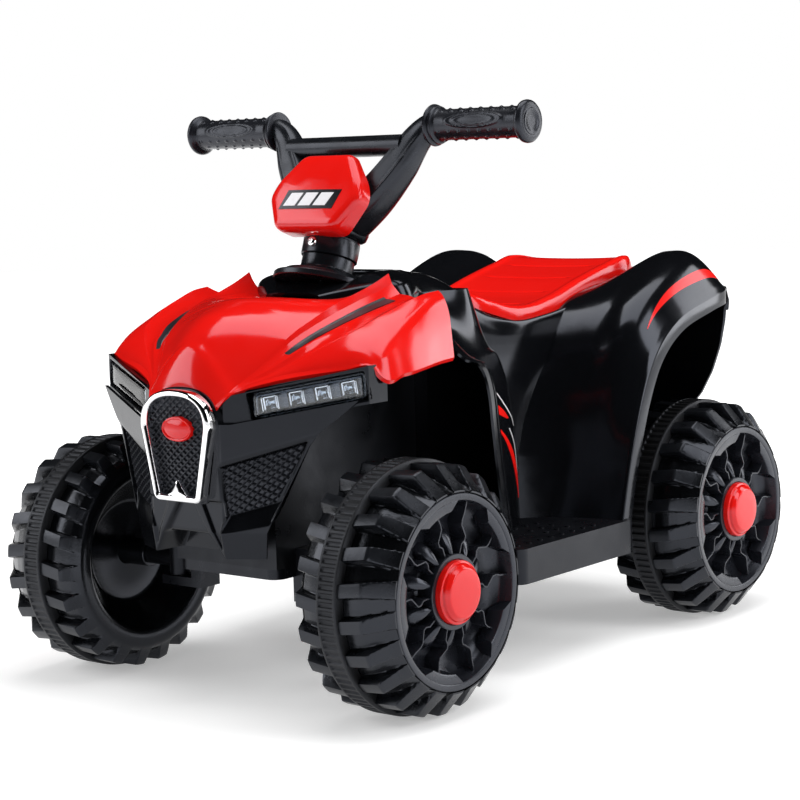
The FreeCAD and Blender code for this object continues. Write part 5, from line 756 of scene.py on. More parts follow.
def raised_boss(outline, profile, crown):
    """An outline drawn in and raised step by step along a profile, closed over the middle by a crown."""
    rows = np.array([lifted(outline, *step) for step in profile])
    middle = np.append(rows[-1, :-1, :2].mean(0), profile[-1][1])
    share = np.array([.75, .5, .25, 0])[:, None, None]
    cap = middle + (rows[-1] - middle) * share + crown * (1 - share ** 2) * np.array([0, 0, 1])
    return np.concatenate([rows, cap])


def on_nose(rows):
    """Drawing of the nose's front face to the bike: across, up and out of the face."""
    return np.stack([rows[..., 0], NOSE_FRONT - rows[..., 2], rows[..., 1]], -1)


def power_of(value, power):
    """A power that keeps its sign, which squares off a circle's sine and cosine."""
    return np.sign(value) * np.abs(value) ** power


ARCH_HALF, ARCH_FOOT = 39.0, 237.0
arch = np.linspace(0, math.pi, 61)
ring_arch = np.stack([ARCH_HALF * power_of(np.cos(arch), .83),
                      ARCH_FOOT + 31 * np.abs(np.sin(arch)) ** .83], -1)
shoulder, heel = np.array([-ARCH_HALF, ARCH_FOOT]), np.array([-27.2, 180])
left_side = shoulder + (heel - shoulder) * np.linspace(0, 1, 20)[1:-3, None]
foot = rounded_outline([shoulder, (-26, 174), (26, 174), (ARCH_HALF, ARCH_FOOT)], 7)[9:27]
ring_path = np.concatenate([ring_arch, left_side, foot, (left_side * np.array([-1, 1]))[::-1], ring_arch[:1]])
nose = on_nose(raised_boss(inset(ring_path, -1.5), [(0, -46), (0, -.8), (.8, 0)], 0))
# Gloss ABS: deep black, a little less wet than the body.
fascia_plastic = moulded_plastic("fascia_gloss_abs", "#07080a", "#0c0d10", 0.17, 5, 0.03, 0.32)
face = shell_wall(bumper_face()[:, ::-1], 3) + shell_wall(lamp_band()[:, ::-1], 2.5)
make_piece("fascia_moulding", both_sides(face) + [nose], fascia_plastic, "chassis", crease=35,
           slot="black_plastic", replaces=["front_fascia"])


# Bumper meshes: black ABS panels with a diamond lattice moulded in relief, clipped in from
# behind the bumper's sunk fields.
def woven_height(across, up, pitch):
    """Raised diamond mesh: the larger of two families of thin rounded bars leaning either way."""
    first = np.abs(((across * .8 + up) / pitch) % 1 - .5) * 2
    second = np.abs(((across * .8 - up) / pitch) % 1 - .5) * 2
    return np.maximum(np.clip(1 - first * 2.6, 0, 1), np.clip(1 - second * 2.6, 0, 1)) ** .6


def bumper_mesh():
    """Left mesh in the sunk panel: a four sided patch blended from its corners, bars standing off it."""
    s, t = np.linspace(0, 1, 150)[None, :], np.linspace(0, 1, 110)[:, None]
    x = (1 - t) * (44.8 + (80 - 44.8) * s) + t * (41.4 + (104.4 - 41.4) * s)
    z = (1 - t) * (164.3 + (175.2 - 164.3) * s) + t * (203.6 + (223.8 - 203.6) * s)
    bars = 1.9 * woven_height(x * 1.12, z - .32 * x, 6.6) + 1.2 * np.sin(math.pi * s) * np.sin(math.pi * t)
    return np.stack([x, lower_front(x, z) + 4.1 - bars, z], -1)


# Satin ABS: black, with a grey bloom on the bars.
mesh_plastic = moulded_plastic("mesh_satin_abs", "#15161a", "#1d1e23", 0.32, 1.5, 0.04)
panel = moulded_wall(bumper_mesh(), np.array([0, 3.0, 0]))
make_piece("bumper_mesh_panels", both_sides(panel), mesh_plastic, "chassis", crease=50,
           slot="black_plastic", replaces=["bumper_meshes"])


# Headlights: clear polycarbonate covers over dark housings, with four chrome plated
# square reflectors in each and a small clear lamp at the bottom of every reflector.
def in_lamp(rows):
    """Drawing of the left lamp to the bike: along it, up it and out of it, from the middle of its front."""
    return LAMP_MIDDLE + rows @ np.stack([LAMP_ALONG, LAMP_UP, LAMP_OUT])


lens_outline = rounded_outline([(-49, -10.5), (46.1, -10.5), (49, 10.5), (-46.1, 10.5)], 5)
outer = raised_boss(lens_outline, [(0, -9), (0, -2.6), (.5, -1.2), (1.4, -.35), (3, 0)], .5)
inner = raised_boss(lens_outline, [(1.3, -9), (1.3, -3.4), (2, -2.2), (3.4, -1.5)], .5)
lens = [in_lamp(s) for s in (outer, inner[::-1], np.stack([outer[0], inner[0]]))]
# Clear polycarbonate: nearly colourless with a hard gloss and a trace of haze.
clear_lens, tree, place = new_finish("lens_polycarbonate")
haze = add_node(tree, "ShaderNodeTexNoise", {"Vector": place, "Scale": per_mm(6), "Detail": 3.0})
gloss = add_node(tree, "ShaderNodeMapRange", {"Value": haze.outputs[0], "To Min": 0.01, "To Max": 0.05})
clear = add_node(tree, "ShaderNodeBsdfTransparent", {"Color": linear("#f2f5f8")})
sheen = add_node(tree, "ShaderNodeBsdfGlossy", {"Color": linear("#ffffff"), "Roughness": gloss.outputs[0]})
facing = add_node(tree, "ShaderNodeFresnel", {"IOR": 1.45})
mixed = add_node(tree, "ShaderNodeMixShader", {
    0: facing.outputs[0], 1: clear.outputs[0], 2: sheen.outputs[0]})
add_node(tree, "ShaderNodeOutputMaterial", {"Surface": mixed.outputs[0]})
make_piece("headlight_covers", both_sides(lens), clear_lens, "chassis", crease=50, slot="lens_clear",
           replaces=["headlight_lenses"])

housing = raised_boss(inset(lens_outline, .2), [(0, -15.4), (0, -9.3), (1.5, -9.2), (1.7, -4.4), (2.2, -4),
                                                (3.2, -4.2), (3.8, -5.4), (4.4, -11.5)], 0)
housing = np.concatenate([housing[:1] * 0 + housing[:1].mean(1, keepdims=True), housing])
# Metallised plastic behind the reflectors: a dull silver, made dark all over as painted shade for the inside
# of the lamp pockets.
housing_plastic = plated_steel("lamp_metallising_painted_shade", "#5b5f67", 0.28, 3)
make_piece("headlight_housings_dark", both_sides([in_lamp(housing)]), housing_plastic, "chassis", crease=35,
           slot="lamp_chrome", replaces=["headlight_housings"])

CUP_PITCH = 22.5
CUP_PROFILE = [(0, -11.6), (0, -5.6), (.4, -5), (1.1, -4.8), (1.7, -5.2), (1.9, -6.6), (2.3, -6.7),
               (2.6, -6.2), (3.0, -6.1), (3.3, -6.6), (4.2, -8.8), (5.0, -10.2)]
cup_corners = np.array([(-7.8, -7.4), (7.4, -7.4), (7.8, 7.4), (-7.4, 7.4)])
cups = [in_lamp(raised_boss(rounded_outline(cup_corners + [(i - 1.5) * CUP_PITCH, 0], 3.2), CUP_PROFILE, -.6))
        for i in range(4)]
# Chrome plating on ABS: a bright mirror with hardly any mark.
chrome_plate = plated_steel("chrome_plating", "#eeeef0", 0.05, 3)
make_piece("headlight_reflectors", both_sides(cups), chrome_plate, "chassis", crease=35, slot="lamp_chrome",
           replaces=["headlight_housings"])
dress(clear_lens, "headlight_lamps")

# Grille: a chrome plated ABS ring on the nose round a black diamond mesh, with a small
# chrome peak at its foot and a plain oval red badge.
ring_section = [(0, 0), (0, 6.5), (.5, 8.8), (1.5, 10.4), (2.9, 11), (4.2, 10.7), (5.3, 9.6), (6.1, 7.6),
                (6.5, 5), (6.5, 0), (0, 0)]
ring_sheet = np.array([lifted(ring_path, *step) for step in ring_section])
peak = raised_boss(rounded_outline([(-12, 178.5), (12, 178.5), (5, 186), (0, 194), (-5, 186)], 2.2),
                   [(0, 0), (0, 7), (.6, 8.6), (1.8, 9.4)], .8)
make_piece("grille_ring", [on_nose(ring_sheet), on_nose(peak)], chrome_plate, "chassis", crease=40,
           slot="chrome_trim", replaces=["grille_surround"])


def grille_mesh():
    """Domed mesh behind the ring: rows up the outline, columns between its sides, relief of crossing bars."""
    up = np.linspace(178, 264, 190)[:, None]
    arch_part = 33 * np.clip(1 - (np.clip(up - ARCH_FOOT, 0, None) / 27.5) ** 2.4, 0, 1) ** (1 / 2.4)
    half = np.where(up > ARCH_FOOT, arch_part, 20.5 + (33 - 20.5) * (up - 178) / (ARCH_FOOT - 178))
    across = half * np.linspace(-1, 1, 130)[None, :]
    dome = 3.5 * (1 - (across / 36) ** 2) * (1 - ((up - 222) / 52) ** 2)
    relief = 1.8 * woven_height(across, up + 0 * across, 6.2)
    return np.stack([across, NOSE_FRONT - .1 - dome - relief, up + 0 * across], -1)


mesh_skin = grille_mesh()
to_back = (NOSE_FRONT + .5 - mesh_skin) * np.array([0, 1.0, 0])
make_piece("grille_diamond_mesh", moulded_wall(mesh_skin, to_back), mesh_plastic, "chassis", crease=50,
           slot="black_plastic", replaces=["grille_mesh"])
turn = full_turn(64)
oval = np.stack([17 * np.cos(turn), 235 + 10.5 * np.sin(turn)], -1)
badge = raised_boss(oval, [(0, 0), (0, 6), (.5, 7.2), (1.3, 7.5), (2.0, 7.2), (2.5, 6.6)], 1.6)
make_piece("grille_badge", [on_nose(badge)], red_plastic, "chassis", crease=40, slot="red_plastic",
           replaces=["grille_emblem"])

# Hood: a red ABS cowl, injection moulded with a 3 mm wall and screwed to the front frame.
# A bonnet arch runs between two ridges, with a slot, a valley and a wing outside each.
# Lengthwise stations, then across and height of the centre, the ridge and the slot's two edges.
HOOD_STATIONS = [-306, -300, -290, -270, -250, -240, -234, -205, -174, -150, -131]
HOOD_BONNET = [[(0, 270.5), (31, 259.5), (32, 258.5), (33, 257.5)],
               [(0, 293.5), (42, 263.7), (42.4, 263.4), (42.8, 263.1)],
               [(0, 307.5), (46.5, 271), (47.8, 270.2), (48.8, 269.8)],
               [(0, 323.4), (59, 290), (65, 285), (68.5, 283.8)],
               [(0, 331), (68.8, 307.2), (77.5, 300), (86, 299.5)],
               [(0, 333.8), (71.3, 313.4), (80.5, 305), (90, 304.8)],
               [(0, 335.5), (72.8, 316.4), (82.5, 307.8), (93, 307.8)],
               [(0, 337), (77, 329.2), (88, 318), (99, 318.2)],
               [(0, 332.5), (78.7, 338.5), (90, 326.5), (102, 326)],
               [(0, 331.5), (80.5, 346), (92, 332), (104, 331)],
               [(0, 332), (81.7, 353.5), (93.5, 336), (105, 334.5)]]
# At the same stations, across and height of the valley, wing crest, crease and edge.
HOOD_WING = [[(35, 255.8), (37, 254.8), (38.5, 254.4), (40, 254)],
             [(43.5, 262.9), (44, 262.7), (44.5, 262.5), (45, 262.3)],
             [(50, 269.5), (51, 269.1), (52.7, 268.4), (54.5, 267.5)],
             [(71.2, 281.6), (73, 281), (80, 278.5), (88, 276.5)],
             [(92.5, 296.3), (99, 297), (126, 285.5), (130, 283)],
             [(99.8, 302.3), (109.5, 304), (146, 288.5), (149, 286)],
             [(104.5, 305.8), (115, 307.5), (150, 290), (153.5, 278)],
             [(113, 317.8), (126, 320.5), (153, 297), (157, 277)],
             [(115.5, 325.8), (131, 331), (151, 306), (155.5, 280)],
             [(115, 331), (134, 337.5), (148.5, 313), (152, 282)],
             [(116, 333.5), (135.5, 339.5), (147, 317), (150.5, 283)]]
NOTCH_FRONT = 20


def hood_half(stations, notch):
    """Left half of the skin over rows along the bike. Across, the bonnet is a hyperbola from the centre to
    the ridge, or further back a power curve from the notch's edge; then come a bevelled slot wall, a
    parabola through the valley, a rounded wing from crest to crease and a straight side."""
    centre, ridge, slot_in, slot_out = np.moveaxis(through(HOOD_STATIONS, HOOD_BONNET, stations), 1, 0)
    valley, crest, crease, edge = np.moveaxis(through(HOOD_STATIONS, HOOD_WING, stations), 1, 0)
    start = NOTCH_FRONT / 78.7 if notch is None else notch / ridge[:, 0]
    start = np.broadcast_to(start, stations.shape)[:, None]
    share = start + (1 - start) * np.linspace(0, 1, 15)[None, :]
    if notch is None:
        share = np.concatenate([start * np.linspace(0, 1, 6)[None, :-1], share], 1)
    tent = (np.sqrt(1 + (share / .7) ** 2) - 1) / (math.sqrt(1 + 1 / .49) - 1)
    horn = share ** (2.3 + 5.7 * np.clip((stations + 205) / 74, 0, 1))[:, None]
    drop = tent + (horn - tent) * np.clip((stations + 236) / 31, 0, 1)[:, None]
    made = [np.stack([share * ridge[:, :1], centre[:, 1:] + (ridge[:, 1:] - centre[:, 1:]) * drop], -1)]

    def carry(a, control, b, steps):
        """Parabola from one rail to the next, drawn by a control rail."""
        t = np.linspace(0, 1, steps + 1)[None, 1:, None]
        made.append(a[:, None] * (1 - t) ** 2 + 2 * control[:, None] * t * (1 - t) + b[:, None] * t ** 2)

    lip = ridge + (slot_in - ridge) * np.array([.28, .5])
    for a, b, steps in ((ridge, lip, 2), (lip, slot_in, 3), (slot_in, slot_out, 3)):
        carry(a, (a + b) / 2, b, steps)
    carry(slot_out, 2 * valley - (slot_out + crest) / 2, crest, 10)
    carry(crest, crest + (crease - crest) * np.array([.72, .22]), crease, 10)
    carry(crease, (crease + edge) / 2, edge, 3)
    made = np.concatenate(made, 1)
    along = np.broadcast_to(stations[:, None], made.shape[:2])
    return np.stack([made[..., 0], along, made[..., 1]], -1)


front_rows = np.concatenate([np.linspace(-306, -290, 12), np.linspace(-288, -174, 115)])
rear_rows = np.linspace(-174, -131, 22)
hood_sheets = []
for rows, notch in ((front_rows, None), (rear_rows, NOTCH_FRONT + 52 * (rear_rows + 174) / 43)):
    skin = hood_half(rows, notch)
    under = skin + np.where(skin[..., :1] > 4, [-1.8, 0, -3.0], [0, 0, -3.0])
    strips = [skin, under[::-1], np.stack([under[:, -1], skin[:, -1]])]
    if notch is None:
        strips += [np.stack([skin[0], under[0]]), np.stack([under[-1, :6], skin[-1, :6]])]
    else:
        strips += [np.stack([under[-1], skin[-1]]), np.stack([skin[:, 0], under[:, 0]])]
    hood_sheets += both_sides(strips)
make_piece("hood_cowl", hood_sheets, red_plastic, "chassis", crease=20, slot="red_plastic", replaces=["hood"])

# Slot inserts: dark grey ABS strips with moulded louvres, clipped into the slots beside the
# bonnet's ridges.
VENT_FRONT, VENT_BACK = -258, -150
vent_rows = np.linspace(VENT_FRONT, VENT_BACK, 60)
vent_rails = through(HOOD_STATIONS, HOOD_BONNET, vent_rows)[:, 1:]
ease = np.sin(np.clip((vent_rows - VENT_FRONT) / 12, 0, 1) * math.pi / 2)[:, None]
wall_share = np.array([.84, .86, .9, .95, 1, 1, 1, 1])[None, :, None]
floor_share = (np.array([0, 0, 0, 0, 0, .4, .9, .98])[None, :]
               * (.6 + .4 * np.clip((vent_rows - VENT_FRONT) / 60, 0, 1))[:, None])[..., None]
strip = (vent_rails[:, :1] + (vent_rails[:, 1:2] - vent_rails[:, :1]) * wall_share
         + (vent_rails[:, 2:] - vent_rails[:, 1:2]) * floor_share)
lift = np.array([-1.0, .5, .8, 1.0, 1.0, 1.0, .8, -1.0])[None, :] * ease
vent_skin = np.stack([strip[..., 0] + lift, vent_rows[:, None] + 0 * lift, strip[..., 1] + lift], -1)
vent_walls = moulded_wall(vent_skin, np.array([0, 0, -3.0]))
# Matt grey ABS with fine slanted louvres 4 mm apart, which read as a dark hatched strip. The grey is darker
# where the louvres' relief is low: painted shade in their grooves.
vent_plastic, tree, place = new_finish("vent_grey_abs")
louvre = add_node(tree, "ShaderNodeTexWave", {"Vector": place, "Scale": per_mm(4) / 20, "Distortion": 0.0},
                  bands_direction="DIAGONAL")
tone = add_node(tree, "ShaderNodeMix", {0: louvre.outputs["Fac"], 6: linear("#1d1e22"), 7: linear("#2c2e34")},
                data_type="RGBA")
bump = add_node(tree, "ShaderNodeBump", {"Height": louvre.outputs["Fac"], "Distance": 0.0006})
shader = add_node(tree, "ShaderNodeBsdfPrincipled", {
    "Base Color": tone.outputs[2], "Roughness": 0.38, "Normal": bump.outputs[0]})
add_node(tree, "ShaderNodeOutputMaterial", {"Surface": shader.outputs[0]})
make_piece("hood_slot_inserts", both_sides(vent_walls), vent_plastic, "chassis", crease=40,
           slot="black_plastic", replaces=["hood_vents"])


# Steering column top: a black plastic collar clamped on the stem by one chrome screw,
# over a low stepped shroud in the dash.
def on_column(rows):
    """Column drawing to the bike: z runs up the steering axis, which leans back."""
    sine, cosine = math.sin(COLUMN_LEAN), math.cos(COLUMN_LEAN)
    x, y, z = rows[..., 0], rows[..., 1], rows[..., 2]
    return np.stack([x, COLUMN_ALONG + y * cosine + z * sine, COLUMN_HEIGHT - y * sine + z * cosine], -1)


def column_spun(profile):
    """A profile of (radius, height) points carried round the steering axis."""
    radius, height = np.array(profile, float).T[..., None]
    angle = full_turn(96)
    return on_column(np.stack([radius * np.cos(angle), radius * np.sin(angle), height + 0 * angle], -1))


# Blow moulded polyethylene: charcoal black with a soft satin shine.
bar_plastic = moulded_plastic("bar_plastic", "#0e1013", "#15171b", 0.26, 1.6, 0.04)
shroud = column_spun([(21.5, -14), (45.2, -14), (46, -13.2), (46, -9.2), (45, -8.1), (40.5, -7.6), (39, -6.6),
                      (38, -5), (36.5, -3.8), (27, -1.4), (24.6, .2), (23.8, 2.4), (23.6, 11.2), (23, 11.7),
                      (9.05, 11.7), (9.05, -.3), (21.5, -.3), (21.5, -14)])
make_piece("column_shroud_rings", [shroud], bar_plastic, "chassis", crease=35, slot="black_plastic",
           replaces=["column_shroud"])
collar = column_spun([(5.05, 12), (24.8, 12), (25.5, 12.7), (25.5, 27.6), (24.9, 28.6), (25.2, 29.4),
                      (24.6, 30), (5.05, 30), (5.05, 12)])
make_piece("stem_clamp_collar", [collar], bar_plastic, "steering", crease=35, slot="black_plastic",
           replaces=["stem_collar"])
screw_line = np.array([(0, 14), (3, 14), (3, 25.3), (4.5, 25.3), (4.5, 26.6), (4.1, 27.6), (3, 28.3),
                       (1.7, 28.5), (1.6, 27.4), (0, 27.2)])
radius, out = screw_line.T[..., None]
turn = full_turn(32)
screw = np.stack([radius * np.cos(turn), 0 * turn - out, 21 + radius * np.sin(turn)], -1)
make_piece("collar_screw", [on_column(screw)], chrome_plate, "steering", crease=35, slot="steel",
           replaces=["stem_bolt"])

# Handlebar: one blow moulded black bar with two broad arms that rise from a block hub,
# a cross tube between them, and straight ends for the grips.
BAR_HEIGHT = 135
ARM_STATIONS = [0, .3, .6, .8, .93, 1, 1.06]
ARM_MIDDLE = [(10.8, 44), (39.6, 69.5), (63, 101.3), (76.5, 124), (85, 132.4), (90, BAR_HEIGHT),
              (98, BAR_HEIGHT)]
ARM_HALF = [(18.7, 19.5), (15.9, 17.2), (14.1, 14), (12.4, 12), (11.8, 11.9), (11.85, 11.85), (11.4, 11.4)]
ARM_LEAN = [38, 41, 34, 46, 70, 90, 90]


def bar_arm():
    """Tube whose rounded oblong section is carried up the arm's middle line. A bead stands on the front
    face beside the outer edge and dies out towards the grip."""
    share = np.linspace(0, 1.06, 70)
    middle = through(ARM_STATIONS, ARM_MIDDLE, share)
    half = through(ARM_STATIONS, ARM_HALF, share)
    lean = np.radians(through(ARM_STATIONS, ARM_LEAN, share))
    turn = full_turn(72)[None, :]
    squareness = np.interp(share, [0, .6, .95, 1.06], [.62, .62, .95, 1])[:, None]
    wide, deep = power_of(np.cos(turn), squareness), power_of(np.sin(turn), squareness)
    fade = np.interp(share, [0, .1, .75, .95], [1, 1, 1, 0])[:, None]
    bead = 1.3 * np.exp(-((wide - .62) / .1) ** 2) + .9 * np.exp(-((wide + .7) / .1) ** 2)
    x = middle[:, :1] + wide * half[:, :1] * np.cos(lean)[:, None]
    z = middle[:, 1:] - wide * half[:, :1] * np.sin(lean)[:, None]
    y = deep * half[:, 1:] - bead * (deep < 0) * fade
    return drawn_in(np.stack([x, y, z], -1))


def rod(reaches, along, high, radius, ledge=0):
    """Rod across the bike with its ends drawn together: a circle, widened by a bell curve round its foot
    where it has a ledge, carried from reach to reach."""
    turn = full_turn(48)[:-1]
    out = radius * (1 + ledge * np.exp(-((turn - 1.5 * math.pi) / .5) ** 2))
    ring = np.stack([0 * turn, along + out * np.cos(turn), high + radius * np.sin(turn)], -1)
    return seam(drawn_in(ring + np.asarray(reaches)[:, None, None] * np.array([1.0, 0, 0])))


hub_outline = rounded_outline([(-29, -20), (29, -20), (29, 22), (-29, 22)], 15)
hub = raised_boss(hub_outline, [(9, 30), (4, 30.9), (1.4, 33), (0, 38), (0, 63), (1, 66.4), (3, 68)], .6)
hub = np.concatenate([hub[:1] * [0, 0, 1], hub])
cross = rod(np.linspace(-66, 66, 9), -5, 116, 9.5, .16)
grip_ends = both_sides([bar_arm(), rod([88.0, 190.0], 0, BAR_HEIGHT, 11)])
make_piece("handlebar_arms", [on_column(s) for s in [hub, cross] + grip_ends], bar_plastic, "steering",
           crease=45, slot="black_plastic", replaces=["handlebar"])

# Bar cover: a red ABS shell clipped on the front of the hub, proud at its foot and leaning
# back to the top, with a black slanted label.
cover_half = np.array([(35, 26.5), (53, 57.8), (48.8, 72.7), (28.1, 101)])
cover_outline = rounded_outline(np.concatenate([(cover_half * [-1, 1])[::-1], cover_half]), 7)


def cover_face(x, z, share):
    """Depth of the cover's front: it tilts back with height, more above the label, and bulges by a parabola.
    The share is how far a row has risen from the back edge to the face."""
    height = (z - 26.5) / 74.5
    depth = 10 + 13 * (1 - height) + 2.2 * (1 - (x / 60) ** 2) - 9 * np.clip(height - .68, 0, 1)
    return -20.3 - share * depth


COVER_EDGE = [(0, 0), (0, .5), (.3, .62), (1.1, .76), (2.4, .87), (4.2, .945), (6.5, .985), (9, 1)]
COVER_MIDDLE = np.array([0, 63.0])
face_line = inset(cover_outline, COVER_EDGE[-1][0])
cover_lines = [(inset(cover_outline, amount), share) for amount, share in COVER_EDGE]
cover_lines += [(COVER_MIDDLE + (face_line - COVER_MIDDLE) * part, 1.0) for part in np.linspace(1, 0, 14)[1:]]
cover = np.array([np.stack([line[:, 0], cover_face(*line.T, share), line[:, 1]], -1)
                  for line, share in cover_lines])
cover = np.concatenate([cover[:1] * [0, 1, 0] + [0, 0, COVER_MIDDLE[1]], cover])
make_piece("bar_cover_shell", [on_column(cover)], red_plastic, "steering", crease=40, slot="red_plastic",
           replaces=["handlebar_cover"])


def label_sheet(left, right, low, high, slant, lift):
    """Thin slanted sticker on the cover's face, raised by its lift."""
    s = np.linspace(0, 1, 24)[None, :]
    t = np.linspace(0, 1, 10)[:, None]
    z = low + (high - low) * t + 0 * s
    x = left + (right - left) * s + slant * (t - .5)
    top = np.stack([x, cover_face(x, z, 1.0) - lift, z], -1)
    return moulded_wall(on_column(top), on_column(np.array([0, lift, 0])) - on_column(np.array([0, 0, 0])))


# The stickers' vinyl again, with a black ground under the white bars.
black_vinyl = moulded_plastic("black_vinyl", "#0b0b0d", "#121214", 0.16, 2, 0.02)
label = label_sheet(-31, 31, 46, 64.5, 5, .35)
make_piece("cover_label", label, black_vinyl, "steering", slot="black_plastic")
bars = sum((label_sheet(left, left + 14, 49, 61.5, 6, .6) for left in (-26, -8.5, 9)), [])
make_piece("cover_label_bars", bars, white_vinyl, "steering", slot="white_plastic")

# Grips: black PVC sleeves pushed over the bar ends, with a long oval thumb pad, rows of
# small bumps, a doubled inner collar and a round end bead.
GRIP_RADIUS = 13.5
GRIP_COLLAR = [(90.3, 11.05), (90.3, 16), (90.8, 17.9), (91.8, 18.5), (93, 18.2), (93.9, 16.6), (94.6, 15.6),
               (95.3, 16.2), (96.4, 16.9), (97.6, 16.4), (98.6, 14.2), (99.6, GRIP_RADIUS)]
GRIP_END = [(185.6, GRIP_RADIUS), (186.8, 14.3), (187.8, 16.6), (189.2, 18.2), (191, 18.5), (192.8, 18.1),
            (194.2, 16.8), (194.9, 15), (195.2, 13), (195.2, 11.6), (195.9, 11), (196, 9), (195.5, 8.3),
            (195.4, 4), (195.4, 0), (193, 0), (193, 11.05)]


def grip_sheet():
    """Sleeve over stations and turns: a plain tube raised along two nested ovals on its front and into
    staggered bumps elsewhere, between collar and bead profiles."""
    line = np.array(GRIP_COLLAR + [(x, GRIP_RADIUS) for x in np.linspace(100, 185, 170)] + GRIP_END)
    turn = full_turn(144)
    x, radius = line[:, :1], line[:, 1:] + 0 * turn[None, :]
    arc = ((turn - math.pi * 1.03 + math.pi) % (2 * math.pi) - math.pi)[None, :] * GRIP_RADIUS
    oval = np.sqrt(((x - 142) / 29) ** 2 + (arc / 6.2) ** 2)
    inside = ((x > 101) & (x < 184)).astype(float)
    rise = .9 * np.exp(-((oval - 1) / .1) ** 2) + .6 * np.exp(-((oval - .7) / .1) ** 2)
    row = np.round((np.abs(arc) - 10) / 7)
    bump = np.clip(np.cos((x - 104) * 2 * math.pi / 11 + row * math.pi), 0, 1) ** 2
    bump = bump * np.clip(np.cos((np.abs(arc) - 10) * 2 * math.pi / 7), 0, 1) ** 2
    radius = radius + inside * (rise + 1.1 * bump * (oval > 1.25) * (np.abs(arc) > 7))
    return np.stack([x + 0 * radius, radius * np.cos(turn), BAR_HEIGHT + radius * np.sin(turn)], -1)


# Soft PVC: black, a little matt, with a fine skin.
grip_plastic = moulded_plastic("grip_pvc", "#121317", "#1a1b20", 0.3, 1.2, 0.03)
grip = grip_sheet()
grip = np.concatenate([grip, grip[:1]])
for name, side in (("left", 1.0), ("right", -1.0)):
    make_piece("grip_sleeve_" + name, [on_column(grip * [side, 1, 1])], grip_plastic, "steering", crease=40,
               slot="grip_plastic", replaces=["grip_" + name])

# Controls: accelerator pedal hinged on the right footboard, direction rocker and its bezel in
# the dash, charging socket at the tail; all moulded in the deck's black polypropylene.
dress(deck_plastic, "accelerator_pedal", "direction_rocker", "switch_bezel", "charging_socket")


# Studio: a pale floor that runs out to plain white, a white surround, four soft boxes
# and a dark canopy above them that only reflections see, as black card does over a gloss product.
def studio_object(name, points, faces, material):
    """A mesh that belongs to the studio and not to the bike."""
    mesh = bpy.data.meshes.new(name)
    mesh.from_pydata(points.reshape(-1, 3).tolist(), [], faces)
    mesh.materials.append(material)
    thing = bpy.data.objects.new(name, mesh)
    bpy.context.scene.collection.objects.link(thing)
    thing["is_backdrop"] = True
    return thing


def seen_directly(tree):
    """One for rays that show the surround itself: camera, mirror and clear plastic rays."""
    path = add_node(tree, "ShaderNodeLightPath").outputs
    seen = path["Is Camera Ray"]
    for other in ("Is Glossy Ray", "Is Transmission Ray"):
        seen = add_node(tree, "ShaderNodeMath", {0: seen, 1: path[other]}, operation="MAXIMUM").outputs[0]
    return seen


# Matt floor paint: pale, with a glow that lifts it to white away from the bike and leaves the shadow.
floor_paint, tree, place = new_finish("floor_paint")
away = add_node(tree, "ShaderNodeVectorMath", {0: place}, operation="LENGTH")
level = add_node(tree, "ShaderNodeMapRange", {
    "Value": away.outputs["Value"], "From Min": 0.4, "From Max": 1.3, "To Min": 0.34, "To Max": 1.0},
    interpolation_type="SMOOTHSTEP")
paint = add_node(tree, "ShaderNodeBsdfDiffuse", {"Color": linear("#f0f0f0")})
glow = add_node(tree, "ShaderNodeEmission", {"Color": linear("#ffffff"), "Strength": level.outputs[0]})
lit = add_node(tree, "ShaderNodeAddShader", {0: paint.outputs[0], 1: glow.outputs[0]})
mixed = add_node(tree, "ShaderNodeMixShader", {
    0: seen_directly(tree), 1: paint.outputs[0], 2: lit.outputs[0]})
add_node(tree, "ShaderNodeOutputMaterial", {"Surface": mixed.outputs[0]})
ring = full_turn(96)[:-1]
studio_object("studio_floor", np.stack([8 * np.cos(ring), 8 * np.sin(ring), 0 * ring], -1),
              [list(range(len(ring)))], floor_paint)

world = bpy.data.worlds.new("studio")
bpy.context.scene.world = world
world.use_nodes = True
tree = world.node_tree
tree.nodes.clear()
level = add_node(tree, "ShaderNodeMapRange", {"Value": seen_directly(tree), "To Min": 0.4, "To Max": 1.0})
surround = add_node(tree, "ShaderNodeBackground", {"Color": linear("#ffffff"), "Strength": level.outputs[0]})
add_node(tree, "ShaderNodeOutputWorld", {"Surface": surround.outputs[0]})

canopy_line = np.array([(3.2, .55), (3.2, 1.6), (3.0, 2.4), (2.0, 3.0), (0, 3.2)])
radius, height = canopy_line.T[..., None]
turn = full_turn(48)
canopy_points = np.stack([radius * np.cos(turn), radius * np.sin(turn), height + 0 * turn], -1)
index = np.arange(height.size * turn.size).reshape(-1, turn.size)
canopy_faces = np.stack([index[:-1, :-1], index[:-1, 1:], index[1:, 1:], index[1:, :-1]], -1).reshape(-1, 4)
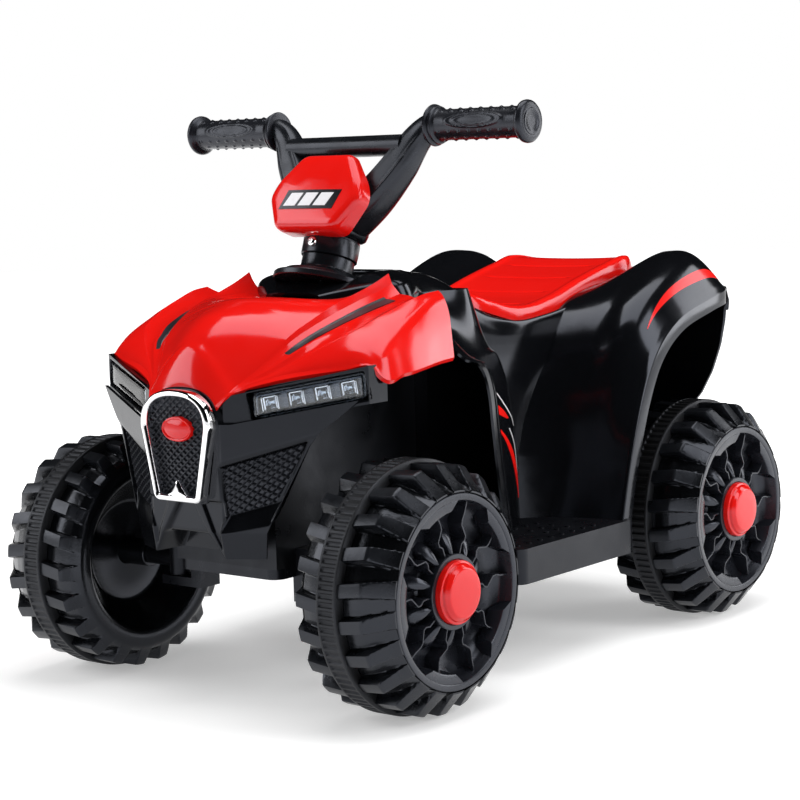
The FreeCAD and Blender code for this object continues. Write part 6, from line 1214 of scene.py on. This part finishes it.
# Matt black card, a little uneven.
black_card = moulded_plastic("black_card", "#0c0c0d", "#141416", 0.9, 3, 0.05, 0.1)
canopy = studio_object("dark_canopy", canopy_points, canopy_faces.tolist(), black_card)
canopy.visible_camera = canopy.visible_diffuse = canopy.visible_shadow = canopy.visible_transmission = False


def set_up(name, data, spot, right, up, back):
    """A lamp or camera stood at a spot, looking away from its back direction."""
    thing = bpy.data.objects.new(name, data)
    bpy.context.scene.collection.objects.link(thing)
    thing.matrix_world = Matrix([[right[i], up[i], back[i], spot[i]] for i in range(3)] + [[0, 0, 0, 1]])
    return thing


for name, spot, aim, wide, high, power in (
        ("soft_box_top", (0.2, 0.1, 2.0), (0, 0, 0.2), 1.3, 1.9, 26),
        ("soft_box_left", (-1.5, -1.4, 1.2), (0, 0, 0.25), 1.2, 1.4, 18),
        ("soft_box_right", (1.9, 0.5, 1.1), (0, 0, 0.25), 0.8, 1.5, 16),
        ("soft_box_back", (1.3, 1.9, 0.95), (0, 0, 0.25), 0.7, 1.5, 14)):
    lamp = bpy.data.lights.new(name, "AREA")
    lamp.shape = "RECTANGLE"
    lamp.size, lamp.size_y, lamp.energy = wide, high, power
    out = unit(np.array(spot) - np.array(aim))
    side = unit(np.cross([0, 0, 1.0], out))
    set_up(name, lamp, spot, side, np.cross(out, side), out)

# Camera: a long lens at the viewing angle of the picture, turned a little about its own axis
# and shifted to the picture's frame.
azimuth, elevation, roll = math.radians(38.33), math.radians(6.28), math.radians(-1.72)
back = np.array([math.sin(azimuth) * math.cos(elevation), -math.cos(azimuth) * math.cos(elevation),
                 math.sin(elevation)])
level_right = unit(np.cross(-back, [0, 0, 1.0]))
level_up = np.cross(level_right, -back)
right = level_right * math.cos(roll) + level_up * math.sin(roll)
up = level_up * math.cos(roll) - level_right * math.sin(roll)
stand = np.array([0, 0.00983, 0.230]) + back * 1.98013
camera_data = bpy.data.cameras.new("camera")
camera_data.lens, camera_data.sensor_width = 94.11, 36
camera_data.shift_x, camera_data.shift_y = -0.0239, -0.0072
bpy.context.scene.camera = set_up("camera", camera_data, stand, right, up, back)
bpy.context.scene.view_settings.view_transform = "Standard"

low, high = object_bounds()
